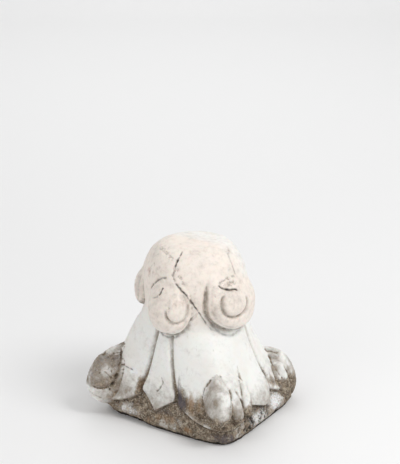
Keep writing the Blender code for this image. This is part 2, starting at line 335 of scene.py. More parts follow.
@dataclass(frozen=True)
class NeckBlock:
    """The upper block: four soft sides turned an eighth from the abacus, drawn in to a round neck bed."""

    heights: tuple[float, ...] = (0.150, 0.190, 0.215, 0.240, 0.264, 0.290, 0.307, 0.318, 0.325, 0.331)
    distances: tuple[float, ...] = (0.091, 0.092, 0.094, 0.096, 0.094, 0.0855, 0.074, 0.061, 0.046, 0.030)
    flatness: float = 0.045
    main_face: float = 46.0
    lean: float = 0.0022
    lean_azimuth: float = 123.0

    def distance(self, azimuth: Array, height: Array) -> Array:
        """The profile less a share that swings four times in a turn, moved a little to one side.

        Args:
            azimuth: azimuths in radians.
            height: heights above the standing face.

        Returns:
            Distance of the block's surface from the axis.
        """
        swing = np.cos(4.0 * turned(azimuth, self.main_face))
        flatness = self.flatness * swing * smooth_step(0.326, 0.296, height)
        lean = self.lean * np.cos(turned(azimuth, self.lean_azimuth))
        return through(height, self.heights, self.distances) * (1.0 - flatness) + lean


@dataclass(frozen=True)
class Lobe:
    """One lobe of a leaf tip folded back up over a corner: full below and drawn to a point above.

    Azimuths are those of its foot and its top. Blunt is 0 for a pointed lobe and 1 for a round one, taper is
    how soon it narrows towards its top, and roundness how round it is across, less being squarer.
    """

    foot_azimuth: float
    top_azimuth: float
    foot: float
    top: float
    half_width: float
    reach: float
    blunt: float
    taper: float = 1.0
    roundness: float = 0.5
    crease: float = 0.003
    crease_shade_and_dirt: float = 0.5
    dust: float = 1.0
    shares: tuple[float, ...] = (0.0, 0.06, 0.16, 0.32, 0.47, 0.67, 0.83, 0.93, 1.0)
    pointed_reach: tuple[float, ...] = (0.60, 0.82, 0.965, 1.00, 0.95, 0.74, 0.47, 0.23, 0.0)
    blunt_reach: tuple[float, ...] = (0.60, 0.80, 0.93, 1.00, 0.955, 0.81, 0.60, 0.38, 0.0)
    pointed_width: tuple[float, ...] = (0.05, 0.40, 0.73, 0.98, 1.00, 0.80, 0.50, 0.27, 0.02)
    blunt_width: tuple[float, ...] = (0.30, 0.62, 0.85, 1.00, 1.00, 0.93, 0.78, 0.60, 0.20)

    def between(self, share: Array, pointed: tuple[float, ...], blunt: tuple[float, ...]) -> Array:
        """A value between two tables, by how blunt the lobe is."""
        return blended(through(share, self.shares, pointed), through(share, self.shares, blunt), self.blunt)

    def lay_over(
        self, radius: Array, azimuth: Array, height: Array, leaves: Leaves
    ) -> tuple[Array, Array, Array]:
        """Lay the lobe over the surface: an arch whose crown and width follow tables from its foot to its top.

        Args:
            radius: distance of the surface so far.
            azimuth: azimuths in radians.
            height: heights above the standing face.
            leaves: the leaves, which give the distance at which the lobe's top meets its leaf.

        Returns:
            The new distance, how much of each point is lobe, and how dark the crease beside it is painted with shade
            and dirt, from 0 to 1.
        """
        share = (height - self.foot) / (self.top - self.foot)
        reach = self.between(share, self.pointed_reach, self.blunt_reach)
        width = self.half_width * self.between(share * self.taper, self.pointed_width, self.blunt_width)
        leaf_at_top = through(np.array(self.top), leaves.heights, leaves.at_corners[0])
        crown = blended(leaf_at_top, self.reach, reach)
        centre = blended(self.foot_azimuth, self.top_azimuth, np.clip(share, 0.0, 1.0))
        side = np.abs(turned(azimuth, centre) * crown)
        dome = np.clip(1.0 - (side / width) ** 2, 0.0, 1.0) ** self.roundness
        ends = smooth_step(0.0, 0.1, share) * smooth_step(1.0, 0.9, share)
        crease = np.exp(-(((side - width) / 0.0028) ** 2)) * ends
        creased = radius - self.crease * crease
        within = (share > 0.0) & (share < 1.0)
        lobe = blended(creased, np.maximum(crown, creased), dome)
        shown = within & (crown > creased)
        # painted shade and dirt along the crease beside the lobe
        line = np.exp(-(((side - width) / 0.0020) ** 2)) * ends * self.crease_shade_and_dirt
        return np.where(within, lobe, radius), np.where(shown, dome, 0.0), np.where(shown, line, 0.0)

    def dusted(self, tip: Array, share: Array) -> Array:
        """How much of each point is dusty tip once this lobe is laid on: its share takes the place of what was."""
        return blended(tip, self.dust, share)


@dataclass(frozen=True)
class Eye:
    """The eye of a scroll, placed across and up from the pad's centre, with a groove curled about it.

    The groove is open in one direction, in degrees anticlockwise from the right, and fades out over a gap to
    either side of it.
    """

    across: float
    up: float
    half_width: float
    half_height: float
    opening: float = 90.0
    gap: float = 50.0
    rise: float = 0.0024
    squareness: float = 4.0
    depth: float = 0.0050
    groove: float = 0.0030
    growth: float = 0.05
    fade: float = 0.6

    def relief(self, across: Array, up: Array) -> tuple[Array, Array]:
        """A cushion, flat in the middle, within a bell-shaped groove whose arm grows evenly with its turn.

        Args:
            across: distances across from the pad's centre.
            up: distances up from the pad's centre.

        Returns:
            Height above the pad's face, below zero in the groove, and how much of each point is groove.
        """
        right = (across - self.across) / self.half_width
        over = (up - self.up) / self.half_height
        from_eye = np.hypot(right, over)
        bearing = turned(np.arctan2(over, right), self.opening)
        arm = 1.0 + self.growth * (bearing % (2.0 * np.pi) - np.pi)
        cushion = np.clip(1.0 - (from_eye / arm) ** self.squareness, 0.0, 1.0)
        size = np.sqrt(self.half_width * self.half_height)
        groove = np.exp(-(((from_eye - arm) * size / self.groove) ** 2))
        cut = smooth_step(np.radians(self.fade * self.gap), np.radians(self.gap), np.abs(bearing))
        return self.rise * cushion - self.depth * cut * groove, cut * groove


@dataclass(frozen=True)
class Crocket:
    """A curled scroll: a pad that overhangs below, with an eye in it and a bead round its lower edge.

    Turn is that of its outline in degrees. The outline has one squareness below the middle and another above
    it, and the face falls back by different amounts at the left and the right.
    """

    azimuth: float
    centre_height: float
    half_width: float
    half_height: float
    reach: float
    eye: Eye
    turn: float = 0.0
    below: float = 2.4
    above: float = 4.0
    left_fall: float = 0.009
    right_fall: float = 0.009
    girth: float = 0.104
    top_fall: float = 0.019
    merge: tuple[float, float] = (1.05, 0.60)
    bead_depth: float = 0.0030
    bead_at: float = 0.88
    bead_half_width: float = 0.038
    bead_shade_and_dirt: float = 0.35
    eye_shade_and_dirt: float = 0.85
    side_shade_and_dirt: float = 0.9
    outline_depth: float = 0.0040

    def lay_over(self, radius: Array, azimuth: Array, height: Array) -> tuple[Array, Array, Array]:
        """Lay the scroll over the surface.

        The pad is a superellipse whose face falls back towards its top and its sides. A shallow groove inside
        its lower edge leaves the bead, and another outside it sharpens the outline.

        Args:
            radius: distance of the surface so far.
            azimuth: azimuths in radians.
            height: heights above the standing face.

        Returns:
            The new distance, how much of each point is scroll, and how dark its grooves and lower flank are painted
            with shade and dirt, from 0 to 1.
        """
        across = turned(azimuth, self.azimuth) * self.girth
        up = height - self.centre_height
        cosine, sine = np.cos(np.radians(self.turn)), np.sin(np.radians(self.turn))
        along = (across * cosine + up * sine) / self.half_width
        over = (up * cosine - across * sine) / self.half_height
        power = np.where(over < 0.0, self.below, self.above)
        share = (np.abs(along) ** power + np.abs(over) ** power) ** (1.0 / power)
        pad = np.clip(1.0 - share**5.0, 0.0, 1.0) ** 0.5 * smooth_step(*self.merge, over)
        side_fall = np.where(across < 0.0, self.left_fall, self.right_fall)
        face = self.reach - self.top_fall * smooth_step(-0.1, 1.0, up / self.half_height)
        eye, eye_groove = self.eye.relief(across, up)
        below = smooth_step(0.75, 0.25, over)
        bead = below * np.exp(-(((share - self.bead_at) / self.bead_half_width) ** 2))
        outline = below * np.exp(-(((share - 1.03) / self.bead_half_width) ** 2))
        face = face - side_fall * (across / self.half_width) ** 2 + eye - self.bead_depth * bead
        radius = radius - self.outline_depth * outline
        # painted shade on the pad's lower flank and on the wall just below it, with dirt
        bottom = smooth_step(-0.2, -0.85, over)
        beyond = np.exp(-((np.maximum(share - 1.0, 0.0) / blended(0.035, 0.15, bottom)) ** 2))
        flank = below * smooth_step(0.93, 0.985, share) * beyond * blended(self.side_shade_and_dirt, 1.0, bottom)
        # eye and bead grooves painted dark with shade and dirt
        groove = np.maximum(np.maximum(self.eye_shade_and_dirt * eye_groove, self.bead_shade_and_dirt * bead), flank)
        return blended(radius, np.maximum(face, radius), pad), pad, groove


@dataclass(frozen=True)
class Break:
    """A place where stone is broken away, a bell-shaped hollow."""

    azimuth: float
    height: float
    half_width: float
    half_height: float
    depth: float
    squareness: float = 4.0

    def share(self, azimuth: Array, height: Array, radius: Array) -> Array:
        """How much of the full depth is gone at each point."""
        across = np.abs(turned(azimuth, self.azimuth) * radius / self.half_width)
        up = (height - self.height) / self.half_height
        return np.exp(-(across**self.squareness) - up * up)


def point_at(azimuth: float, height: float, distance: float) -> Array:
    """The point at an azimuth in degrees, a height, and a distance from the axis."""
    turn = np.radians(azimuth)
    return np.array([np.sin(turn) * distance, -np.cos(turn) * distance, height])


@dataclass
class Place:
    """Where each vertex is on the stone: its point, azimuth in radians, height and distance from the axis."""

    points: Array
    azimuth: Array
    height: Array
    distance: Array

    @classmethod
    def of(cls, points: Array) -> Place:
        """The places of rows of points."""
        distance = np.hypot(points[:, 0], points[:, 1])
        return cls(points, np.arctan2(points[:, 0], -points[:, 1]), points[:, 2], distance)


@dataclass(frozen=True)
class DrilledHole:
    """A small round hole, stated by the azimuth, height and distance from the axis of its mouth."""

    azimuth: float
    height: float
    distance: float
    radius: float
    depth: float

    def share(self, place: Place) -> Array:
        """How much of the full depth is gone: a flat-bottomed bell of the distance from the mouth's middle."""
        middle = point_at(self.azimuth, self.height, self.distance)
        return np.exp(-((np.linalg.norm(place.points - middle, axis=1) / self.radius) ** 4))


@dataclass(frozen=True)
class Line:
    """A crack or a carved crease, a narrow valley along a route that wanders a little and fades at its ends.

    Each stop of the route is an azimuth and a height, and on steep flanks a distance from the axis as well. A
    depth below zero raises a ridge instead.
    """

    route: tuple[tuple[float, ...], ...]
    depth: float
    half_width: float
    darkness: float = 0.0
    wander: float = 0.0006
    fade: float = 0.12

    def closeness(self, place: Place, waver: Array) -> Array:
        """A bell curve of the distance to the nearest stretch of the route.

        The distance is measured in space where the stops have a distance from the axis, and otherwise on the
        surface unrolled about the axis.

        Args:
            place: the vertices' places.
            waver: noise that pushes the route to and fro.

        Returns:
            1 on the route, falling to 0 beside it and at both its ends.
        """
        stops = np.array(self.route)
        if stops.shape[1] == 3:
            here = place.points
            there = [point_at(*stop)[None] for stop in stops]
        else:
            here = np.stack([turned(place.azimuth, stops[0, 0]) * place.distance, place.height], -1)
            there = [
                np.stack([np.radians(stop[0] - stops[0, 0]) * place.distance, np.full(len(here), stop[1])], -1)
                for stop in stops
            ]
        nearest = np.full(len(here), 1.0)
        way = np.zeros(len(here))
        for number, (start, end) in enumerate(zip(there[:-1], there[1:])):
            run = end - start
            share = np.clip(np.sum((here - start) * run, -1) / np.sum(run * run, -1), 0.0, 1.0)
            gap = np.linalg.norm(here - start - share[:, None] * run, axis=-1)
            way = np.where(gap < nearest, (number + share) / (len(stops) - 1), way)
            nearest = np.minimum(nearest, gap)
        ends = smooth_step(0.0, self.fade, way) * smooth_step(1.0, 1.0 - self.fade, way)
        return ends * np.exp(-(((nearest + self.wander * waver) / self.half_width) ** 2))


class Tone(Enum):
    """What colours a patch of the stone."""

    DUST = "dust"
    DIRT = "dirt"
    SOOT = "soot"
    RUST = "rust"
    BARE = "bare"
    PINK = "pink"


@dataclass(frozen=True)
class Patch:
    """A patch of colour with soft edges; a strength below zero is a patch that is washed clean of it."""

    tone: Tone
    azimuth: float
    height: float
    half_width: float
    half_height: float
    strength: float

    def share(self, place: Place) -> Array:
        """Strength of the patch at each point: a bell of its distance in half widths and half heights."""
        across = turned(place.azimuth, self.azimuth) * place.distance / self.half_width
        up = (place.height - self.height) / self.half_height
        return self.strength * np.exp(-((across * across + up * up) ** 1.5))


# The finish


def linear(code: str) -> tuple[float, float, float, float]:
    """An sRGB hex colour as linear light with full alpha."""
    channels = np.array([int(code[i : i + 2], 16) for i in (0, 2, 4)]) / 255.0
    light = np.where(channels <= 0.04045, channels / 12.92, ((channels + 0.055) / 1.055) ** 2.4)
    return (*(float(value) for value in light), 1.0)


def add_node(tree: bpy.types.NodeTree, kind: str, settings: dict, links: dict) -> bpy.types.Node:
    """Add a node with its settings and links.

    Args:
        tree: node tree that takes it.
        kind: Blender's name for the kind of node.
        settings: property names, or input sockets by name or number, to their values.
        links: input sockets by name or number to the output sockets that feed them.

    Returns:
        The new node.
    """
    node = tree.nodes.new(kind)
    for key, value in settings.items():
        if isinstance(key, str) and hasattr(node, key):
            setattr(node, key, value)
        else:
            node.inputs[key].default_value = value
    for key, socket in links.items():
        tree.links.new(socket, node.inputs[key])
    return node


@dataclass(frozen=True)
class WeatheredMarble:
    """White marble left outdoors: matt and cloudy where rain washes it, grey-brown with dirt where it does not.

    Its crystals are half a millimetre to two across, its clouds a hand's breadth, its dirt in flecks of a few
    millimetres. IOR 1.5, no metal, rough because rain has etched the polish away.
    """

    block: str = "F4EAE0"
    leaf: str = "F2F2EE"
    cloud: str = "E4DBD2"
    pink: str = "B99683"
    bare: str = "F4F5F6"
    dust: str = "8F8478"
    dirt_dark: str = "392F25"
    dirt_mid: str = "7C6D5B"
    dirt_light: str = "B6A995"
    grit: str = "D2C8BA"
    soot: str = "524B50"
    rust: str = "92724F"
    # near black, for the cracks and for painted shade and shadow
    crack_and_shadow: str = "261F1A"
    cloud_size: float = 0.060
    fleck_size: float = 0.009
    speck_size: float = 0.0030
    streak_width: float = 0.006
    streak_stretch: float = 0.14
    roughness_clean: float = 0.62
    roughness_dirty: float = 0.88

    def noise(self, tree: bpy.types.NodeTree, where: bpy.types.NodeSocket, size: float, detail: float) -> bpy.types.Node:
        """A noise whose largest features have a size in metres."""
        settings = {"Scale": 1.0 / size, "Detail": detail, "Roughness": 0.68}
        return add_node(tree, "ShaderNodeTexNoise", settings, {"Vector": where})

    def amount(self, tree: bpy.types.NodeTree, name: str, pattern: bpy.types.NodeSocket, low: float, high: float) -> bpy.types.NodeSocket:
        """How far a painted amount plus a pattern passes a threshold.

        Args:
            tree: the material's node tree.
            name: the vertex attribute that holds the amount.
            pattern: output socket of the pattern that breaks its edge up.
            low: sum at which nothing shows.
            high: sum at which all of it shows.

        Returns:
            Output socket of the amount, from 0 to 1.
        """
        painted = add_node(tree, "ShaderNodeAttribute", {"attribute_name": name}, {})
        total = add_node(tree, "ShaderNodeMath", {"operation": "ADD"}, {0: painted.outputs["Fac"], 1: pattern})
        shaped = {"interpolation_type": "SMOOTHSTEP", "From Min": low, "From Max": high}
        return add_node(tree, "ShaderNodeMapRange", shaped, {"Value": total.outputs[0]}).outputs[0]

    def over(self, tree: bpy.types.NodeTree, below: bpy.types.NodeSocket, above: bpy.types.NodeSocket | str, share: bpy.types.NodeSocket) -> bpy.types.NodeSocket:
        """One colour laid over another.

        Args:
            tree: the material's node tree.
            below: output socket of the colour below.
            above: output socket of the colour above, or its hex code.
            share: output socket of how much of it shows.

        Returns:
            Output socket of the mixed colour.
        """
        mix = add_node(tree, "ShaderNodeMix", {"data_type": "RGBA"}, {0: share, 6: below})
        if isinstance(above, str):
            mix.inputs[7].default_value = linear(above)
        else:
            tree.links.new(above, mix.inputs[7])
        return mix.outputs[2]

    def material(self) -> bpy.types.Material:
        """Build the stone's material: clean marble, clouds, dirt and dust with painted shade in them, soot, rust,
        bare stone, and cracks with painted shade and shadow, in turn.

        Returns:
            The material, which reads Object coordinates and the piece's painted amounts.
        """
        finish = bpy.data.materials.new("weathered white marble")
        finish.use_nodes = True
        tree = finish.node_tree
        shader = tree.nodes["Principled BSDF"]
        place = add_node(tree, "ShaderNodeTexCoord", {}, {}).outputs["Object"]
        clouds = self.noise(tree, place, self.cloud_size, 3.0).outputs["Fac"]
        flecks = self.noise(tree, place, self.fleck_size, 8.0).outputs["Fac"]
        specks = self.noise(tree, place, self.speck_size, 3.0).outputs["Fac"]
        settings = {"operation": "MULTIPLY", 1: (1.0, 1.0, self.streak_stretch)}
        drawn_out = add_node(tree, "ShaderNodeVectorMath", settings, {0: place}).outputs[0]
        streaks = self.noise(tree, drawn_out, self.streak_width, 5.0).outputs["Fac"]

        warmth = add_node(tree, "ShaderNodeAttribute", {"attribute_name": "warmth"}, {}).outputs["Fac"]
        clean = add_node(tree, "ShaderNodeMix", {"data_type": "RGBA", 6: linear(self.leaf), 7: linear(self.block)}, {0: warmth})
        cloud_range = {"From Min": 0.45, "From Max": 0.80, "To Max": 0.55}
        cloudy = add_node(tree, "ShaderNodeMapRange", cloud_range, {"Value": clouds})
        colour = self.over(tree, clean.outputs[2], self.cloud, cloudy.outputs[0])

        ramp = add_node(tree, "ShaderNodeValToRGB", {}, {"Fac": flecks})
        stops = ramp.color_ramp.elements
        stops[0].position, stops[0].color = 0.32, linear(self.dirt_dark)
        stops[1].position, stops[1].color = 0.68, linear(self.dirt_light)
        middle = stops.new(0.50)
        middle.color = linear(self.dirt_mid)

        # the dirt and dust amounts also carry painted shade in hollows, grooves and flanks and painted shadow at the
        # foot
        dirt = self.amount(tree, "dirt", flecks, 0.70, 1.20)
        colour = self.over(tree, colour, self.pink, self.amount(tree, "pink", flecks, 0.55, 1.5))
        colour = self.over(tree, colour, self.dust, self.amount(tree, "dust", flecks, 0.45, 1.42))
        colour = self.over(tree, colour, ramp.outputs["Color"], dirt)
        pale_range = {"From Min": 0.46, "From Max": 0.34, "To Max": 0.60}
        pale = add_node(tree, "ShaderNodeMapRange", pale_range, {"Value": specks})
        paler = add_node(tree, "ShaderNodeMath", {"operation": "MULTIPLY"}, {0: pale.outputs[0], 1: dirt})
        colour = self.over(tree, colour, self.grit, paler.outputs[0])
        grit_range = {"From Min": 0.54, "From Max": 0.66, "To Max": 0.80}
        grit = add_node(tree, "ShaderNodeMapRange", grit_range, {"Value": specks})
        gritty = add_node(tree, "ShaderNodeMath", {"operation": "MULTIPLY"}, {0: grit.outputs[0], 1: dirt})
        colour = self.over(tree, colour, self.dirt_dark, gritty.outputs[0])
        colour = self.over(tree, colour, self.rust, self.amount(tree, "rust", streaks, 0.60, 1.2))
        colour = self.over(tree, colour, self.soot, self.amount(tree, "soot", streaks, 0.60, 1.2))
        colour = self.over(tree, colour, self.bare, self.amount(tree, "bare", specks, 0.60, 1.1))
        # cracks, with painted shade in creases, holes and pits and painted shadow under edges and at the foot
        cracks = add_node(tree, "ShaderNodeAttribute", {"attribute_name": "crack_and_shadow"}, {})
        colour = self.over(tree, colour, self.crack_and_shadow, cracks.outputs["Fac"])
        tree.links.new(colour, shader.inputs["Base Color"])

        rough_range = {"To Min": self.roughness_clean, "To Max": self.roughness_dirty}
        rough = add_node(tree, "ShaderNodeMapRange", rough_range, {"Value": dirt})
        tree.links.new(rough.outputs[0], shader.inputs["Roughness"])
        grain = add_node(tree, "ShaderNodeMath", {"operation": "MULTIPLY_ADD", 1: 2.5}, {0: flecks, 2: specks})
        strength = add_node(tree, "ShaderNodeMapRange", {"To Min": 0.12, "To Max": 0.45}, {"Value": dirt})
        relief = {"Distance": 0.0012}
        links = {"Height": grain.outputs[0], "Strength": strength.outputs[0]}
        bump = add_node(tree, "ShaderNodeBump", relief, links)
        tree.links.new(bump.outputs["Normal"], shader.inputs["Normal"])
        shader.inputs["IOR"].default_value = 1.5
        shader.inputs["Subsurface Weight"].default_value = 0.10
        shader.inputs["Subsurface Scale"].default_value = 0.004
        return finish


# The carved stone


@dataclass(frozen=True)
class CarvedForm:
    """All the forms of the capital, laid over one another in the order in which they are cut."""

    height: float = 0.325
    edge_softness: float = 0.0035
    abacus: Abacus = Abacus()
    leaves: Leaves = Leaves()
    darts: tuple[Dart, ...] = (
        Dart(-1.5, 0.0075, 0.2, 0.0, -0.003, 0.065, 0.060, 1.0, 0.9),
        Dart(89.0, 0.0095, 1.0, 58.0, 0.017, 0.054, 0.069, 0.10, 1.0, left_channel=-0.0035),
        Dart(180.0, 0.0085, 0.5),
        Dart(270.0, 0.0085, 0.5),
    )
    neck: NeckBlock = NeckBlock()
    lobes: tuple[Lobe, ...] = (
        Lobe(57.0, 57.5, 0.030, 0.118, 0.0450, 0.174, 0.8, 1.0, 0.9, 0.0, 0.0, 0.25),
        Lobe(46.8, 50.5, 0.037, 0.122, 0.0265, 0.190, 0.0, 1.0, 0.62, 0.002, 0.34, 0.9),
        Lobe(59.5, 58.0, 0.038, 0.104, 0.0125, 0.184, 0.3, dust=0.6),
        Lobe(65.5, 68.5, 0.038, 0.106, 0.0120, 0.179, 0.6, 1.0, 0.6, 0.002, 0.35, 0.45),
        Lobe(311.5, 311.5, 0.020, 0.134, 0.0380, 0.197, 1.0, 1.2, 0.45, crease_shade_and_dirt=0.2),
        Lobe(130.0, 130.0, 0.008, 0.098, 0.0420, 0.180, 0.8, 1.15, 0.6, crease_shade_and_dirt=0.4),
        Lobe(134.0, 134.0, 0.008, 0.106, 0.0330, 0.191, 0.8, 1.15, crease_shade_and_dirt=0.25),
        Lobe(224.0, 224.0, 0.030, 0.116, 0.0460, 0.176, 0.8, 1.0, 0.9, 0.0),
        Lobe(224.0, 224.0, 0.034, 0.124, 0.0270, 0.191, 0.2),
        Lobe(236.0, 235.0, 0.036, 0.102, 0.0125, 0.183, 0.3),
        Lobe(212.0, 213.0, 0.036, 0.102, 0.0125, 0.183, 0.3),
    )
    crockets: tuple[Crocket, ...] = (
        Crocket(
            6.0, 0.2310, 0.045, 0.0495, 0.1200, Eye(0.0205, 0.002, 0.0176, 0.0235, 128.0, 72.0),
            below=2.3, above=2.3, left_fall=0.011, right_fall=0.011, eye_shade_and_dirt=0.55,
            side_shade_and_dirt=0.06, outline_depth=0.0015, bead_shade_and_dirt=0.15,
        ),
        Crocket(
            84.0, 0.2320, 0.070, 0.0500, 0.1180, Eye(-0.0220, 0.006, 0.0250, 0.0240, 72.0, 80.0),
            turn=-8.0, below=2.1, above=7.0, left_fall=0.0035, right_fall=0.014,
        ),
        Crocket(180.0, 0.2290, 0.070, 0.0470, 0.1190, Eye(0.0, 0.0, 0.026, 0.026)),
        Crocket(
            270.0, 0.2310, 0.066, 0.0450, 0.1150, Eye(0.0, 0.0, 0.026, 0.026),
            above=3.0, left_fall=0.011, right_fall=0.012, side_shade_and_dirt=0.1, outline_depth=0.0012, bead_depth=0.0012,
        ),
    )
    breaks: tuple[Break, ...] = (
        Break(321.0, 0.000, 0.0480, 0.0110, 0.0120),
        Break(296.0, 0.000, 0.0300, 0.0080, 0.0070),
    )

    def raised(self, inside: Array) -> Array:
        """Share of its relief that a form has at a distance inside its outline: a soft edge, then a full middle."""
        fullness = 1.0 - np.exp(-np.clip(inside, 0.0, 1.0) / 0.016)
        return 0.66 * smooth_step(0.0, self.edge_softness, inside) + 0.34 * fullness

    def outlines(self, azimuth: Array, height: Array) -> tuple[Array, list[Array]]:
        """How far each point is inside the leaves and inside each dart, below zero outside them."""
        faces = self.leaves.face_distances(height)
        darts = [dart.inside(azimuth, height, face) for dart, face in zip(self.darts, faces)]
        leaf = self.leaves.above_edge(azimuth, height)
        for dart, inside, face in zip(self.darts, darts, faces):
            leaf = np.minimum(leaf, -inside - dart.channel(azimuth, height, face, self.leaves.groove))
        return leaf, darts

    def skirt(self, azimuth: Array, height: Array) -> Array:
        """The lower half: leaves and darts raised from a bed that turns from the abacus to the neck.

        Args:
            azimuth: azimuths in radians.
            height: heights above the standing face.

        Returns:
            Distance of the surface from the axis.
        """
        leaf_surface = self.leaves.surface(azimuth, height)
        abacus = self.abacus.distance(azimuth, height)
        bed = blended(abacus, leaf_surface - self.leaves.relief, smooth_step(0.030, 0.056, height))
        leaf, darts = self.outlines(azimuth, height)
        radius = blended(bed, np.maximum(leaf_surface, bed), self.raised(leaf))
        above = self.leaves.above_edge(azimuth, height)
        roll = np.exp(-(((above - 0.007) / 0.005) ** 2)) - 0.6 * np.exp(-(((above - 0.018) / 0.006) ** 2))
        radius = radius + self.leaves.roll * roll * smooth_step(0.0, 0.004, leaf)
        for dart, inside in zip(self.darts, darts):
            radius = radius + dart.height_of_relief(height) * self.raised(inside)
        return radius

    def surface(self, azimuth: Array, height: Array) -> tuple[Array, Array, Array, Array]:
        """Distance of the whole carved surface from the axis.

        Args:
            azimuth: azimuths in radians.
            height: heights above the standing face.

        Returns:
            The distance, and how much of each point is folded tip, how much crocket, and how dark its grooves,
            creases and channels are painted with shade and dirt.
        """
        to_block = smooth_step(0.172, 0.212, height)
        radius = blended(self.skirt(azimuth, height), self.neck.distance(azimuth, height), to_block)
        _, darts = self.outlines(azimuth, height)
        # groove: painted shade and dirt in the darts' channels, the lobes' creases and the crockets' grooves and
        # flanks
        groove = np.zeros(azimuth.shape)
        for dart, inside, face in zip(self.darts, darts, self.leaves.face_distances(height)):
            channel = np.exp(-(((inside + 0.5 * self.leaves.groove) / self.leaves.groove) ** 2))
            groove = np.maximum(groove, channel * dart.dirt(azimuth, height, face))
        groove = groove * smooth_step(0.200, 0.180, height)
        tip = np.zeros(azimuth.shape)
        for lobe in self.lobes:
            radius, share, crease = lobe.lay_over(radius, azimuth, height, self.leaves)
            tip = lobe.dusted(tip, smooth_step(0.0, 0.5, share))
            groove = np.maximum(groove * (1.0 - smooth_step(0.3, 0.8, share)), crease)
        scroll = np.zeros(azimuth.shape)
        for crocket in self.crockets:
            radius, share, cut = crocket.lay_over(radius, azimuth, height)
            scroll = np.maximum(scroll, share)
            groove = np.maximum(groove * (1.0 - share), cut)
        for lost in self.breaks:
            radius = radius - lost.depth * lost.share(azimuth, height, radius)
        return radius, tip, scroll, groove


